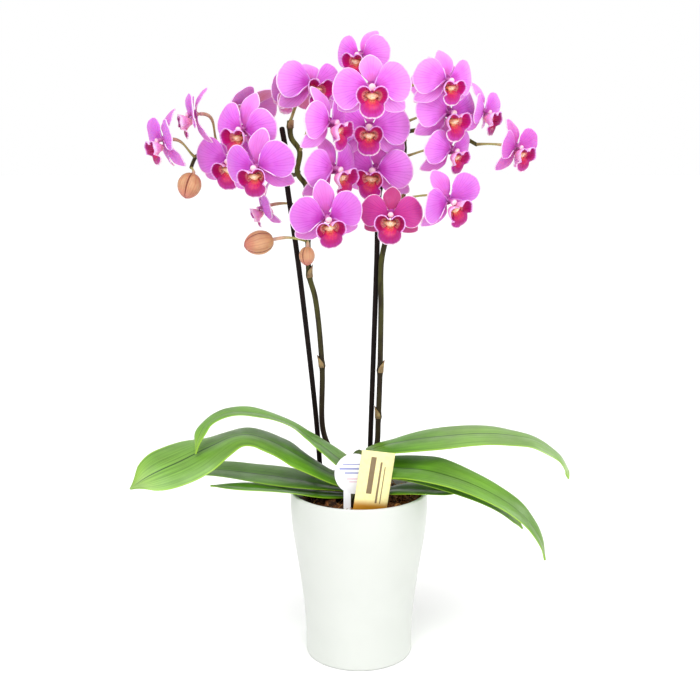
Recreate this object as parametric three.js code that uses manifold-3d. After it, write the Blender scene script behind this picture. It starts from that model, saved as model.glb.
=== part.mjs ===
// A potted moth orchid: two flowering spikes beside their stakes, a fan of broad leaves on a short
// crown, bark in a plain round pot, and two bare plant labels. Millimetres, +Z up, the origin at
// the middle of the pot's flat base, and the flowers face -Y.
import * as THREE from "three";
import { mergeVertices } from "three/addons/utils/BufferGeometryUtils.js";
import Module from "manifold-3d";

const wasm = await Module();
wasm.setup();

// Driving dimensions
const POT_HEIGHT = 150;
const RIM_RADIUS = 60.2;
const FOOT_RADIUS = 47.2;
const POT_WALL = 3;
const POT_FLOOR = 4;
const POT_SIDES = 26;
const FOOT_CHAMFER = 3;
const RIM_ROUNDING = 0.6;
const MEDIUM_TOP = 138;
const BARK_RELIEF = 5;
const BARK_SIDES = 18;
const BARK_BEVEL = 3;
const CROWN_RADIUS = 11;
const CROWN_TOP = 188;
const CROWN_BOTTOM = 122;
const CROWN_NARROWING = 4;
const LEAF_THICKNESS = 1.7;
const PETAL_THICKNESS = 0.9;
const SPIKE_RADIUS = 2.4;
const BRANCH_RADIUS = 1.7;
const PEDICEL_RADIUS = 1.15;
const STAKE_RADIUS = 2.3;
const SEAT_GAP = 0.3;

// The pot's outer wall as height and radius: upright at the foot, then gently flared to the rim.
const POT_WALL_LINE = [
  [3, FOOT_RADIUS],
  [25, FOOT_RADIUS + 0.2],
  [50, FOOT_RADIUS + 2.2],
  [80, FOOT_RADIUS + 6.2],
  [112, FOOT_RADIUS + 11.2],
  [134, RIM_RADIUS],
  [POT_HEIGHT - 2 * RIM_ROUNDING, RIM_RADIUS],
];

// A leaf's half width from root to tip, as shares of its widest.
const STRAP = [0.72, 0.86, 0.95, 1, 0.98, 0.92, 0.86, 0.8, 0.7, 0.52, 0.1];
const BLUNT = [0.6, 0.75, 0.88, 0.96, 1, 1, 0.98, 0.95, 0.86, 0.66, 0.1];
const SLIM_ROOT = [0.4, 0.52, 0.68, 0.84, 0.95, 1, 0.98, 0.9, 0.75, 0.5, 0.08];
const HOOKED = [0.72, 0.86, 0.95, 1, 0.96, 0.88, 0.76, 0.64, 0.52, 0.38, 0.1];
const TAPERED = [0.62, 0.78, 0.94, 1, 0.96, 0.86, 0.76, 0.66, 0.54, 0.38, 0.08];

// Each leaf's middle line from the crown to the tip, its outline and widest width, how far its
// halves rise from the midrib, and how many degrees its top face leans towards the viewer at even
// steps from root to tip.
const LEAVES = [
  {
    name: "leaf_left_arched",
    width: 40,
    outline: HOOKED,
    fold: 0.1,
    lean: [12, 2, 0, 3, -8, -24],
    line: [[-7, 0, 166], [-16, 0, 174], [-30, 0, 185], [-45, 0, 196], [-59, -1, 206],
      [-73, -4, 213], [-87, -9, 218.5], [-101, -15, 221.5], [-112, -22, 222], [-121.5, -29, 219.5],
      [-129.5, -36, 214], [-133.5, -42, 206], [-136, -46, 194]],
  },
  {
    name: "leaf_left_front",
    width: 52,
    outline: BLUNT,
    fold: -0.07,
    lean: [8, 9, 11, 5, -3, 20, 38, 42],
    line: [[-7, 0, 153], [-15, -1, 158], [-28, -4, 165], [-50, -8, 179], [-64, -10, 188],
      [-78, -13, 196], [-94, -17, 202], [-108, -22, 201.5], [-122, -30, 197], [-134, -38, 193],
      [-149, -50, 188], [-163, -60, 184], [-175, -67, 179], [-186, -72, 172]],
  },
  {
    name: "leaf_left_low",
    width: 46,
    outline: SLIM_ROOT,
    fold: 0.1,
    lean: [0, 2, 4, 6, 8],
    line: [[-7, -1, 148], [-34, -2, 153], [-60, -1, 158], [-93, 1, 162], [-126, 3, 165], [-150, 5, 163]],
  },
  {
    name: "leaf_left_lowest",
    width: 32,
    outline: SLIM_ROOT,
    fold: 0.1,
    lean: [0, -4, -6],
    line: [[-7, -3, 143.5], [-30, -12, 147], [-51, -19, 151.5], [-65, -23, 154.5], [-87, -26, 157.5],
      [-127, -27, 160.5]],
  },
  {
    name: "leaf_right_arched",
    width: 52,
    outline: BLUNT,
    fold: -0.05,
    lean: [4, 4, 5, 5, -2, -4],
    line: [[6, 1, 182], [18, 0, 187], [32, -3, 191], [53, -6, 195.5], [78, -9, 199], [95, -11, 201],
      [112, -13, 202], [129, -15, 201], [148, -17, 198], [162, -19, 191], [172, -20, 183],
      [177.5, -21, 173], [179, -22, 165]],
  },
  {
    name: "leaf_right_front",
    width: 46,
    outline: TAPERED,
    fold: 0.1,
    lean: [12, 12, 8, 4, 0],
    line: [[6, -2, 170], [21, -8, 171], [37, -16, 172], [56, -32, 175], [75, -46, 174],
      [91, -56, 171], [106, -64, 166], [122, -71, 158], [132, -75, 150], [141, -78, 139],
      [147, -80, 127], [150, -81, 115]],
  },
  {
    name: "leaf_right_under",
    width: 44,
    outline: STRAP,
    fold: 0.1,
    lean: [0, 3, 6, 8, 10],
    line: [[6, -1, 156], [20, -3, 161], [36, -9, 165], [69, -21, 164], [102, -34, 156], [124, -42, 144],
      [137, -46, 129]],
  },
  {
    name: "leaf_right_low",
    width: 34,
    outline: SLIM_ROOT,
    fold: 0.1,
    lean: [0, 0, 0, 2, 4],
    line: [[6, -2, 144], [20, -8, 149], [38, -17, 153.5], [60, -28, 156], [84, -36, 157]],
  },
];

// The two flowering spikes. A line starts in the crown, and its last stretch carries the flowers.
const SPIKES = {
  spike_left: {
    main: [[-2, 6, 158], [-11, 19, 163], [-24, 29, 174], [-32, 29, 194], [-32.6, 20, 256],
      [-38, 14, 316], [-43, 12, 336], [-44, 10, 367], [-47, 8, 394], [-45, 8, 412], [-52, 6, 423],
      [-50, 6, 441], [-57, 6, 452], [-58, 5, 466]],
    branch: [[-51, 7, 424], [-56, 17, 421], [-66, 26, 426], [-83, 26, 437], [-105, 25, 447],
      [-127, 25, 443], [-138, 20, 437], [-141, 16, 431], [-142, 13, 427]],
    rings: [256, 336, 368, 461],
  },
  spike_right: {
    main: [[4, 6, 162], [11, 16, 170], [16, 21, 184], [17, 19.5, 205], [18.3, 16, 252],
      [18.8, 13, 307], [19, 11, 349], [24, 10, 371], [34, 9, 396], [38, 8, 415], [36, 8, 430],
      [37.4, 8, 443], [35, 7, 457], [37, 6, 468], [32, 5, 480], [31, 4, 493]],
    branch: [[36, 7, 456], [46, 11, 458], [62, 16, 459], [78, 16, 457], [99, 13, 446]],
    rings: [209, 252, 402, 450],
  },
};

// The stakes beside the spikes, from inside the bark to their tops.
const STAKES = {
  stake_left: [[-30, 26, 70], [-34, 31, 140], [-37.5, 34, 192], [-41.7, 27, 242], [-52.7, 14, 349],
    [-58.9, 8, 398], [-60.8, 7, 413], [-61, 7, 436], [-65, 9, 461]],
  stake_right: [[8, 26, 70], [9, 27, 140], [10.3, 26, 187], [12.2, 21, 252], [15, 15.5, 349],
    [16.4, 14, 403], [19, 13.5, 416]],
};

// Each flower: where its petals meet, the way it faces (yaw to the right, down from level), how
// far its top sepal rolls to the right, its span, and the stem point that its stalk grows from.
// Where it isn't shaped like the others: how far its petals sweep back, the petals' angles above
// level on the right and the left, the top sepal's own lean to the right and its height, the lip's
// size as a share, and how far below level the lower sepals hang.
const USUAL_BLOOM = { sweep: 10, lifts: [11, 11], crest: 0, rise: 1, lip: 1, drop: 33 };
const BLOOMS = [
  {
    at: [1.2, 10, 519], yaw: -32, down: 0, roll: 9, span: 51, stem: [32, 5, 483],
    lifts: [16, 2], crest: 13, rise: 0.87,
  },
  {
    at: [9, -49.5, 490], yaw: 0, down: 2, roll: 0, span: 61, stem: [31, 4, 490],
    lifts: [10, -7], crest: -3, rise: 0.83,
  },
  {
    at: [8, -8, 460], yaw: -4, down: -2, roll: 0, span: 65, stem: [36, 6, 468],
    lifts: [5, 8], lip: 0.9,
  },
  {
    at: [13, 0, 426], yaw: -20, down: 4, roll: 6, span: 62, stem: [37, 8, 442],
    lifts: [5, 11],
  },
  {
    at: [25, -38, 391.5], yaw: -5, down: 2, roll: 2, span: 50, stem: [34, 9, 396],
    lifts: [5, 5], rise: 0.85, lip: 1.2,
  },
  {
    at: [-26, -57, 390], yaw: 11, down: 12, roll: -8, span: 58, stem: [-44, 10, 372],
    rise: 0.95,
  },
  {
    at: [-21, -29, 427], yaw: 49, down: 4, roll: -12, span: 59, stem: [-46, 8, 410],
    rise: 0.9,
  },
  {
    at: [-24, -36.5, 463.5], yaw: 57, down: 2, roll: -9, span: 57, stem: [-50, 6, 441],
    crest: -6,
  },
  {
    at: [-39, 3, 496], yaw: 30, down: -8, roll: 0, span: 60, stem: [-58, 5, 465],
    lifts: [3, 8], crest: 6, rise: 0.65,
  },
  { at: [-58, 23, 490], yaw: -140, down: 0, roll: 0, span: 46, stem: [-58, 5, 462] },
  {
    at: [-94, -20, 458], yaw: -30, down: 0, roll: 6, span: 58, stem: [-99, 24, 444],
    lifts: [10, 18], rise: 1.05,
  },
  {
    at: [-108.5, 7, 434], yaw: -10, down: 10, roll: 0, span: 60, stem: [-110, 23, 446],
    lifts: [11, 9], rise: 0.92,
  },
  {
    at: [-81.5, -48, 429], yaw: -16, down: 8, roll: -4, span: 58, stem: [-76, 26, 433],
    sweep: 20, lifts: [12, 7], crest: 8,
  },
  { at: [-92, 28, 478], yaw: -140, down: -30, roll: -20, span: 50, stem: [-92, 24, 442] },
  {
    at: [-137, 6, 471], yaw: -76, down: 4, roll: 8, span: 50, stem: [-121, 22, 446],
    sweep: -8, crest: 4, rise: 0.87, drop: 60,
  },
  {
    at: [-162, -2, 450], yaw: -58, down: 6, roll: 0, span: 50, stem: [-137, 15, 437],
    sweep: -8, lifts: [14, 24], crest: 4, drop: 60,
  },
  { at: [-82, 20, 394], yaw: -78, down: 14, roll: 10, span: 42, stem: [-47, 8, 396] },
  {
    at: [68.5, -35, 496], yaw: 26, down: 6, roll: -4, span: 54, stem: [31, 4, 490],
    sweep: 16, lifts: [2, 11], rise: 0.86, lip: 0.9,
  },
  { at: [64.5, 22, 497], yaw: 160, down: 0, roll: 10, span: 44, stem: [31, 4, 491] },
  { at: [72, -15.5, 472], yaw: 32, down: 6, roll: -5, span: 58, stem: [36, 6.5, 464] },
  {
    at: [75, -9.5, 442], yaw: 44, down: 8, roll: -6, span: 54, stem: [37, 8, 436],
    lifts: [3, 11], lip: 0.88,
  },
  {
    at: [72, -28, 402], yaw: 33, down: 12, roll: -26, span: 56, stem: [36, 9, 402],
    sweep: -12, rise: 0.87,
  },
  {
    at: [102.5, 4, 473], yaw: 58, down: 4, roll: -5, span: 48, stem: [85, 16, 455],
    sweep: -8,
  },
  {
    at: [128.5, -8, 444.5], yaw: 42, down: 6, roll: -5, span: 45, stem: [98, 13, 446],
    sweep: -10, lip: 1.1, drop: 55,
  },
].map((bloom) => ({ ...USUAL_BLOOM, ...bloom }));

// The unopened buds: middle, length, width, the way the tip points, and the stalk's stem point.
const BUDS = [
  { at: [-143, 7, 412], length: 22, width: 21, tip: [-0.3, -0.2, -0.93], stem: [-141, 12, 428] },
  { at: [-84, -12, 366], length: 25, width: 21, tip: [-0.93, -0.2, -0.2], stem: [-44, 10, 366] },
  { at: [-44, -4, 354], length: 16, width: 14, tip: [-0.05, -0.25, -0.97], stem: [-44, 10, 366] },
];

// A flower's parts in shares of its span: half widths run from the middle out to the tip, on the
// side towards the top sepal (upper) and on the other (lower). The lip's lists run from its root to
// its tip, and a wing is how far its raised margin stands off sideways, up and out.
const CLAW = 0.03;
const PETAL = {
  length: 0.51,
  upper: [0.015, 0.21, 0.27, 0.235, 0.06],
  lower: [0.015, 0.09, 0.235, 0.24, 0.08],
  back: -0.01,
  cup: 0.045,
};
const SEPAL = {
  back: 0.03,
  cup: 0.03,
};
const DORSAL = {
  ...SEPAL,
  length: 0.49,
  upper: [0.03, 0.12, 0.15, 0.03],
  lower: [0.03, 0.12, 0.15, 0.03],
  sweep: 24,
};
const LATERAL = {
  ...SEPAL,
  length: 0.52,
  upper: [0.03, 0.12, 0.14, 0.03],
  lower: [0.03, 0.12, 0.14, 0.03],
  sweep: 20,
};
const HUB_RADIUS = 0.052;
const UPRIGHT = 90;
const LIP_ANGLE = 270;
const LIP = {
  y: [-0.03, -0.1, -0.19, -0.29, -0.4],
  z: [-0.015, 0.08, 0.16, 0.2, 0.17],
  trough: [0.015, 0.04, 0.055, 0.09, 0.04],
  wing: [
    [0.01, 0, 0],
    [0.08, 0.09, 0.07],
    [0.14, 0.15, 0.12],
    [0.05, 0, 0.02],
    [0.02, 0, 0],
  ],
};
const COLUMN = { tip: 0.043, foot: 0.036, length: 0.12, rise: 0.01, middle: 0.085 };
const BOSS_DEPTH = 0.1;
const HUB_FRONT = 0.03;

// A bud's outline as shares of its width and length, from the stalk's end to the tip.
const BUD_OUTLINE = [
  [0, -0.5],
  [0.13, -0.5],
  [0.4, -0.32],
  [0.5, -0.05],
  [0.42, 0.25],
  [0.2, 0.44],
  [0, 0.5],
];

// Spikes part at this x: stems to its left belong to the left spike.
const SPIKE_DIVIDE = -15;

// A spike's joint is a short collar, a little wider than the stem and more so at its foot.
const JOINT = { length: 5, top: 0.3, foot: 0.9 };

// The roots' compass angles, thickness, and how far one reaches as shares of ROOT_REACH and height.
const ROOT_ANGLES = [-84, -112, 58, 122];
const ROOT_RADIUS = 2.2;
const ROOT_REACH = 36;
const ROOT_LINE = [
  [0.2, 146],
  [0.42, 148],
  [0.72, 142.5],
  [1, 133],
  [1.06, 124],
];

// The labels' sizes: lean is back from upright, slant is sideways and turn is about the upright,
// all in degrees.
const TAG_THICKNESS = 1;
const ROUND_TAG = {
  radius: 17,
  stemWidth: 7,
  stemX: -6.5,
  foot: 50,
  point: 6,
  lean: 10,
  turn: 0,
  at: [-4, -33, 173],
};
const STRIP_TAG = { width: 30.5, length: 62, slant: 12, lean: 6, turn: 22, at: [16.2, -37.2, 193.6] };

// A closed mesh as a solid, with its shared corners merged.
function solid(geometry) {
  const bare = geometry.clone();
  bare.deleteAttribute("normal");
  bare.deleteAttribute("uv");
  const merged = mergeVertices(bare, 1e-4);
  const mesh = new wasm.Mesh({
    numProp: 3,
    vertProperties: merged.attributes.position.array,
    triVerts: new Uint32Array(merged.index.array),
  });
  return new wasm.Manifold(mesh);
}

function toGeometry(manifold) {
  const mesh = manifold.getMesh();
  const geometry = new THREE.BufferGeometry();
  geometry.setAttribute("position", new THREE.BufferAttribute(mesh.vertProperties, 3));
  geometry.setIndex(new THREE.BufferAttribute(mesh.triVerts, 1));
  geometry.computeVertexNormals();
  return geometry;
}

function union(geometries) {
  return geometries.map(solid).reduce((whole, next) => whole.add(next));
}

function vectors(points) {
  return points.map((point) => new THREE.Vector3(...point));
}

function curveThrough(points) {
  return new THREE.CatmullRomCurve3(vectors(points), false, "centripetal");
}

// A value read off evenly spaced keys, blended smoothly between them.
function blend(keys, s) {
  const place = Math.min(Math.max(s, 0), 1) * (keys.length - 1);
  const low = Math.min(Math.floor(place), keys.length - 2);
  return THREE.MathUtils.lerp(keys[low], keys[low + 1], place - low);
}

// A thin closed sheet: at(s, t) gives its middle surface for s from 0 to 1 and t from -1 to 1, and
// both faces are split into triangles along the same diagonals.
function sheet(at, rows, columns, thickness) {
  const step = 1e-3;
  const faces = [[], []];
  for (let i = 0; i <= rows; i++) {
    for (let j = 0; j <= columns; j++) {
      const s = i / rows;
      const t = (2 * j) / columns - 1;
      const middle = at(s, t);
      const along = at(Math.min(s + step, 1), t).sub(at(Math.max(s - step, 0), t));
      const across = at(s, Math.min(t + step, 1)).sub(at(s, Math.max(t - step, -1)));
      const half = along.cross(across).setLength(thickness / 2);
      faces[0].push(middle.clone().add(half));
      faces[1].push(middle.clone().sub(half));
    }
  }
  const count = faces[0].length;
  const upper = (i, j) => i * (columns + 1) + j;
  const index = [];
  const quad = (a, b, c, d) => index.push(a, b, c, a, c, d);
  for (let i = 0; i < rows; i++) {
    for (let j = 0; j < columns; j++) {
      const [a, b, c, d] = [upper(i, j), upper(i + 1, j), upper(i + 1, j + 1), upper(i, j + 1)];
      const turned = j < columns / 2;
      const corners = turned ? [b, c, d, a] : [a, b, c, d];
      quad(...corners);
      quad(...[corners[0], corners[3], corners[2], corners[1]].map((corner) => corner + count));
    }
  }
  const wall = (a, b) => quad(a, a + count, b + count, b);
  for (let i = 0; i < rows; i++) {
    wall(upper(i, 0), upper(i + 1, 0));
    wall(upper(i + 1, columns), upper(i, columns));
  }
  for (let j = 0; j < columns; j++) {
    wall(upper(0, j + 1), upper(0, j));
    wall(upper(rows, j), upper(rows, j + 1));
  }
  const geometry = new THREE.BufferGeometry().setFromPoints([...faces[0], ...faces[1]]);
  geometry.setIndex(index);
  return geometry;
}

// A regular outline of a round section.
function ring(radius, sides) {
  const corners = [];
  for (let k = 0; k < sides; k++) {
    const turn = (2 * Math.PI * k) / sides;
    corners.push(new THREE.Vector2(radius * Math.cos(turn), radius * Math.sin(turn)));
  }
  return corners;
}

// A round rod along a curve.
function rod(curve, radius, sides, steps) {
  const section = new THREE.Shape(ring(radius, sides));
  return new THREE.ExtrudeGeometry(section, { extrudePath: curve, steps, bevelEnabled: false });
}

// An outline of [radius, height] turned about the upright axis.
function upright(outline, sides) {
  const points = outline.map(([radius, height]) => new THREE.Vector2(radius, height));
  return new THREE.LatheGeometry(points, sides).rotateX(Math.PI / 2);
}

// The pot's inner wall as height and radius, in fewer steps than the outer one.
const POT_BORE_LINE = POT_WALL_LINE.filter((corner, k) => k % 2 === 0 && k > 0).map(([z, r]) => [
  z,
  r - POT_WALL,
]);

function boreRadius(height) {
  const upper = Math.max(1, POT_BORE_LINE.findIndex(([z]) => z >= height));
  const [[z0, r0], [z1, r1]] = [POT_BORE_LINE[upper - 1], POT_BORE_LINE[upper]];
  return THREE.MathUtils.mapLinear(height, z0, z1, r0, r1);
}

// A thin-walled round pot with a flat base and a softened lip.
function pot() {
  const outer = POT_WALL_LINE.map(([z, r]) => [r, z]);
  const inner = POT_BORE_LINE.map(([z, r]) => [r, z]);
  const outline = [
    [0, 0],
    [FOOT_RADIUS - FOOT_CHAMFER, 0],
    [FOOT_RADIUS - 0.3 * FOOT_CHAMFER, 0.3 * FOOT_CHAMFER],
    ...outer,
    [RIM_RADIUS - RIM_ROUNDING, POT_HEIGHT],
    [RIM_RADIUS - POT_WALL + RIM_ROUNDING, POT_HEIGHT],
    ...inner.reverse(),
    [FOOT_RADIUS - POT_WALL - FOOT_CHAMFER, POT_FLOOR],
    [0, POT_FLOOR],
  ];
  return solid(upright(outline, POT_SIDES));
}

// The bark's uneven top, as a height above its mean at a place.
function barkRelief(x, y) {
  const lumps = Math.sin(0.31 * x + 1.7) * Math.cos(0.27 * y - 0.6) + Math.sin(0.23 * (x + y));
  return 0.5 * BARK_RELIEF * lumps;
}

// The plug of bark that fills the pot.
function barkPlug() {
  const facetLoss = Math.cos(Math.PI / POT_SIDES);
  const fit = (z) => boreRadius(z) * facetLoss - SEAT_GAP;
  const edge = fit(MEDIUM_TOP);
  const levels = [50, 112, MEDIUM_TOP - BARK_BEVEL - 1];
  const bottom = POT_FLOOR + SEAT_GAP;
  const outline = [
    [0, bottom],
    [FOOT_RADIUS - POT_WALL - FOOT_CHAMFER - 1, bottom],
    ...levels.map((z) => [fit(z), z]),
    [edge - BARK_BEVEL, MEDIUM_TOP],
    ...[0.66, 0.33].map((share) => [edge * share, MEDIUM_TOP]),
    [0, MEDIUM_TOP],
  ];
  const geometry = upright(outline, BARK_SIDES);
  const places = geometry.attributes.position;
  for (let k = 0; k < places.count; k++) {
    if (places.getZ(k) < MEDIUM_TOP - 1) continue;
    places.setZ(k, MEDIUM_TOP + barkRelief(places.getX(k), places.getY(k)));
  }
  return solid(geometry);
}

// The short upright stem that carries the leaves, grown by a gap where a neighbour is cut to it.
function crownStem(gap = 0) {
  const wide = CROWN_RADIUS + gap;
  const narrow = wide - CROWN_NARROWING;
  const outline = [
    [0, CROWN_BOTTOM - gap],
    [narrow, CROWN_BOTTOM - gap],
    [wide, CROWN_BOTTOM + 3 * CROWN_NARROWING],
    [wide, CROWN_TOP - 4 * CROWN_NARROWING],
    [narrow, CROWN_TOP - CROWN_NARROWING],
    [0, CROWN_TOP + gap],
  ];
  return solid(upright(outline, 10));
}

// The thick roots that arch from the crown into the bark.
function roots(gap = 0) {
  return ROOT_ANGLES.map((degrees) => {
    const turn = THREE.MathUtils.degToRad(degrees);
    const line = ROOT_LINE.map(([share, z]) => {
      const reach = share * ROOT_REACH;
      return [reach * Math.cos(turn), reach * Math.sin(turn), z];
    });
    return solid(rod(curveThrough(line), ROOT_RADIUS + gap, 5, 5));
  });
}

function crown(gap = 0) {
  return roots(gap).reduce((whole, root) => whole.add(root), crownStem(gap));
}

// A leaf as a folded sheet along its middle line, its top face turned a little to the viewer.
function leaf({ width, outline, fold, lean, line }) {
  const curve = curveThrough(line);
  const middle = (s, t) => {
    const tangent = curve.getTangentAt(s);
    const side = tangent.clone().cross(new THREE.Vector3(0, 0, 1)).normalize();
    const up = side.clone().cross(tangent);
    const turn = THREE.MathUtils.degToRad(blend(lean, s)) * Math.sign(side.y);
    side.applyAxisAngle(tangent, -turn);
    up.applyAxisAngle(tangent, -turn);
    const half = 0.5 * width * blend(outline, s);
    return curve
      .getPointAt(s)
      .addScaledVector(side, half * t)
      .addScaledVector(up, half * fold * Math.abs(t));
  };
  const blade = solid(sheet(middle, 12, 2, LEAF_THICKNESS));
  return blade.subtract(crownStem(SEAT_GAP));
}

// How a flower or bud is set: its own x to the right, y up and z out of its face.
function facing({ yaw, down, roll }) {
  const [y, d, r] = [yaw, down, roll].map(THREE.MathUtils.degToRad);
  return new THREE.Matrix4()
    .makeRotationZ(y)
    .multiply(new THREE.Matrix4().makeRotationX(Math.PI / 2 + d))
    .multiply(new THREE.Matrix4().makeRotationZ(-r));
}

// A petal or sepal that leaves the middle at an angle: its halves' outlines, its backward sweep
// and its cupping, all in shares of the flower's span.
function tepal({ angle, length, upper, lower, back, sweep, cup }) {
  const turn = THREE.MathUtils.degToRad(angle);
  const slope = Math.tan(THREE.MathUtils.degToRad(sweep));
  return (s, t) => {
    const along = THREE.MathUtils.lerp(CLAW, length, s);
    const off = t > 0 ? t * blend(upper, s) : t * blend(lower, s);
    const x = along * Math.cos(turn) - off * Math.sin(turn);
    const y = along * Math.sin(turn) + off * Math.cos(turn);
    const z = -back - slope * along * s + cup * Math.sin(Math.PI * s) - 0.6 * off * off;
    return new THREE.Vector3(x, y, z);
  };
}

function mirrored(at) {
  return (s, t) => at(s, -t).multiply(new THREE.Vector3(-1, 1, 1));
}

// The lip: a trough out from under the column, its margins raised halfway as two side lobes, and
// a blunt middle lobe that turns down.
function lip(s, t) {
  const { y, z, trough, wing } = LIP;
  const [wingX, wingY, wingZ] = [0, 1, 2].map((axis) => blend(wing.map((reach) => reach[axis]), s));
  const raised = Math.max(0, 2 * Math.abs(t) - 1);
  const half = blend(trough, s) * Math.min(1, 2 * Math.abs(t)) + wingX * raised;
  return new THREE.Vector3(half * Math.sign(t), blend(y, s) + wingY * raised, blend(z, s) + wingZ * raised);
}

// The flower's six-sided middle, a flat side for each petal, each sepal and the lip; its back end
// is the seat of the stalk.
function hub({ span, lifts, crest, drop }) {
  const angles = [-drop, lifts[0], UPRIGHT - crest, 180 - lifts[1], 180 + drop, LIP_ANGLE];
  const corners = angles.map((angle, k) => {
    const next = angles[(k + 1) % angles.length] + (k === angles.length - 1 ? 360 : 0);
    const [middle, half] = [(angle + next) / 2, (next - angle) / 2].map(THREE.MathUtils.degToRad);
    const radius = (HUB_RADIUS * span) / Math.cos(half);
    return new THREE.Vector2(radius * Math.cos(middle), radius * Math.sin(middle));
  });
  const depth = (BOSS_DEPTH + HUB_FRONT) * span;
  const settings = { depth, bevelEnabled: false };
  return new THREE.ExtrudeGeometry(new THREE.Shape(corners), settings).translate(0, 0, -BOSS_DEPTH * span);
}

// The column: a short blunt finger out of the hub, over the lip.
function column(span) {
  const { tip, foot, length, rise, middle } = COLUMN;
  const finger = new THREE.CylinderGeometry(tip * span, foot * span, length * span, 5);
  return finger.rotateX(Math.PI / 2).translate(0, rise * span, middle * span);
}

// One whole flower, its middle at the origin: three sepals behind two petals, the lip and column
// before them, and the hub behind, which ends in a flat seat for the stalk.
function flower(bloom) {
  const { span, sweep, lifts, crest, rise, drop } = bloom;
  const blade = (at, rows, columns, size = span) => {
    const scaled = (s, t) => at(s, t).multiplyScalar(size);
    return sheet(scaled, rows, columns, PETAL_THICKNESS);
  };
  const dorsal = tepal({ ...DORSAL, angle: UPRIGHT - crest });
  const raised = (s, t) => dorsal(s, t).multiply(new THREE.Vector3(1, rise, 1));
  const lateral = tepal({ ...LATERAL, angle: -drop });
  const [right, left] = lifts.map((angle) => tepal({ ...PETAL, sweep, angle }));
  return union([
    hub(bloom),
    column(span),
    blade(raised, 3, 1),
    blade(lateral, 2, 1),
    blade(mirrored(lateral), 2, 1),
    blade(right, 4, 2),
    blade(mirrored(left), 4, 2),
    blade(lip, 4, 4, span * bloom.lip),
  ]);
}

// A bud, its tip along +z and its flat stalk end behind it.
function bud(length, width) {
  const outline = BUD_OUTLINE.map(([r, z]) => [r * width, z * length]);
  return solid(upright(outline, 8));
}

function nearestPoint(curves, place) {
  const points = curves.flatMap((curve) => curve.getSpacedPoints(160));
  return points.reduce((best, point) =>
    point.distanceTo(place) < best.distanceTo(place) ? point : best,
  );
}

// A flower's or bud's stalk: from its stem out to a flat end square to the seat, a gap short of it.
function stalk(curves, { stem, seat, back }) {
  const start = nearestPoint(curves, new THREE.Vector3(...stem));
  const end = seat.clone().addScaledVector(back, SEAT_GAP);
  const reach = 0.45 * start.distanceTo(end);
  const out = start.clone().lerp(end, 0.4).add(new THREE.Vector3(0, 0, 1.5));
  const last = end.clone().addScaledVector(back, reach);
  return rod(new THREE.CubicBezierCurve3(start, out, last, end), PEDICEL_RADIUS, 4, 3);
}

function flowerSeat(bloom) {
  const turn = facing(bloom);
  const back = new THREE.Vector3(0, 0, -1).applyMatrix4(turn);
  const seat = new THREE.Vector3(...bloom.at).addScaledVector(back, BOSS_DEPTH * bloom.span);
  return { stem: bloom.stem, seat, back };
}

function budSeat({ at, length, tip, stem }) {
  const back = new THREE.Vector3(...tip).normalize().negate();
  return { stem, seat: new THREE.Vector3(...at).addScaledVector(back, length / 2), back };
}

// A swollen joint of a spike, where a bract once sheathed it.
function joint(curve, height) {
  const points = curve.getSpacedPoints(200);
  const place = points.findIndex((point) => point.z >= height);
  const tangent = curve.getTangentAt(place / 200);
  const turn = new THREE.Quaternion().setFromUnitVectors(new THREE.Vector3(0, 1, 0), tangent);
  const { length, top, foot } = JOINT;
  const collar = new THREE.CylinderGeometry(SPIKE_RADIUS + top, SPIKE_RADIUS + foot, length, 5);
  const { x, y, z } = points[place];
  return collar.applyQuaternion(turn).translate(x, y, z);
}

// A spike with its side branch, joints and all its stalks in one body, cut clear of the crown.
function spike(name, stalks) {
  const { main, branch, rings } = SPIKES[name];
  const curves = [curveThrough(main), curveThrough(branch)];
  const own = stalks.filter(({ stem }) => (stem[0] < SPIKE_DIVIDE) === (name === "spike_left"));
  const body = union([
    rod(curves[0], SPIKE_RADIUS, 6, 22),
    rod(curves[1], BRANCH_RADIUS, 5, 9),
    ...rings.map((height) => joint(curves[0], height)),
    ...own.map((seat) => stalk(curves, seat)),
  ]);
  return body.subtract(crownStem(SEAT_GAP));
}

function stake(line, gap = 0) {
  return solid(rod(curveThrough(line), STAKE_RADIUS + gap, 6, 11));
}

// An upright flat label from its outline in x and height, leaned back from its foot.
function label(outline, thickness, { lean, turn, at }) {
  const depth = { depth: thickness, bevelEnabled: false, curveSegments: 14 };
  const plate = new THREE.ExtrudeGeometry(outline, depth)
    .translate(0, 0, -thickness / 2)
    .rotateX(Math.PI / 2 - THREE.MathUtils.degToRad(lean))
    .rotateZ(THREE.MathUtils.degToRad(turn))
    .translate(...at);
  return solid(plate);
}

// A round head on a narrow stem that narrows to its foot; its own origin is the head's middle.
function roundTag(gap = 0) {
  const { radius, stemWidth, stemX, foot, point } = ROUND_TAG;
  const half = stemWidth / 2 + gap;
  const joinX = [stemX - half, stemX + half];
  const angles = joinX.map((x) => -Math.acos(x / radius));
  const outline = new THREE.Shape();
  outline.absarc(0, 0, radius, angles[1], angles[0] + 2 * Math.PI, false);
  outline.lineTo(joinX[0], point - foot);
  outline.lineTo(stemX, -foot - gap);
  outline.lineTo(joinX[1], point - foot);
  outline.closePath();
  return label(outline, TAG_THICKNESS + 2 * gap, ROUND_TAG);
}

// A plain strip that stands a little askew; its own origin is the middle of its top edge.
function stripTag(gap = 0) {
  const { width, length, slant } = STRIP_TAG;
  const half = width / 2 + gap;
  const turn = -THREE.MathUtils.degToRad(slant);
  const corners = [[-half, 0], [half, 0], [half, -length - gap], [-half, -length - gap]];
  const middle = new THREE.Vector2(0, 0);
  const outline = corners.map(([x, y]) => new THREE.Vector2(x, y).rotateAround(middle, turn));
  return label(new THREE.Shape(outline.reverse()), TAG_THICKNESS + 2 * gap, STRIP_TAG);
}

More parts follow.
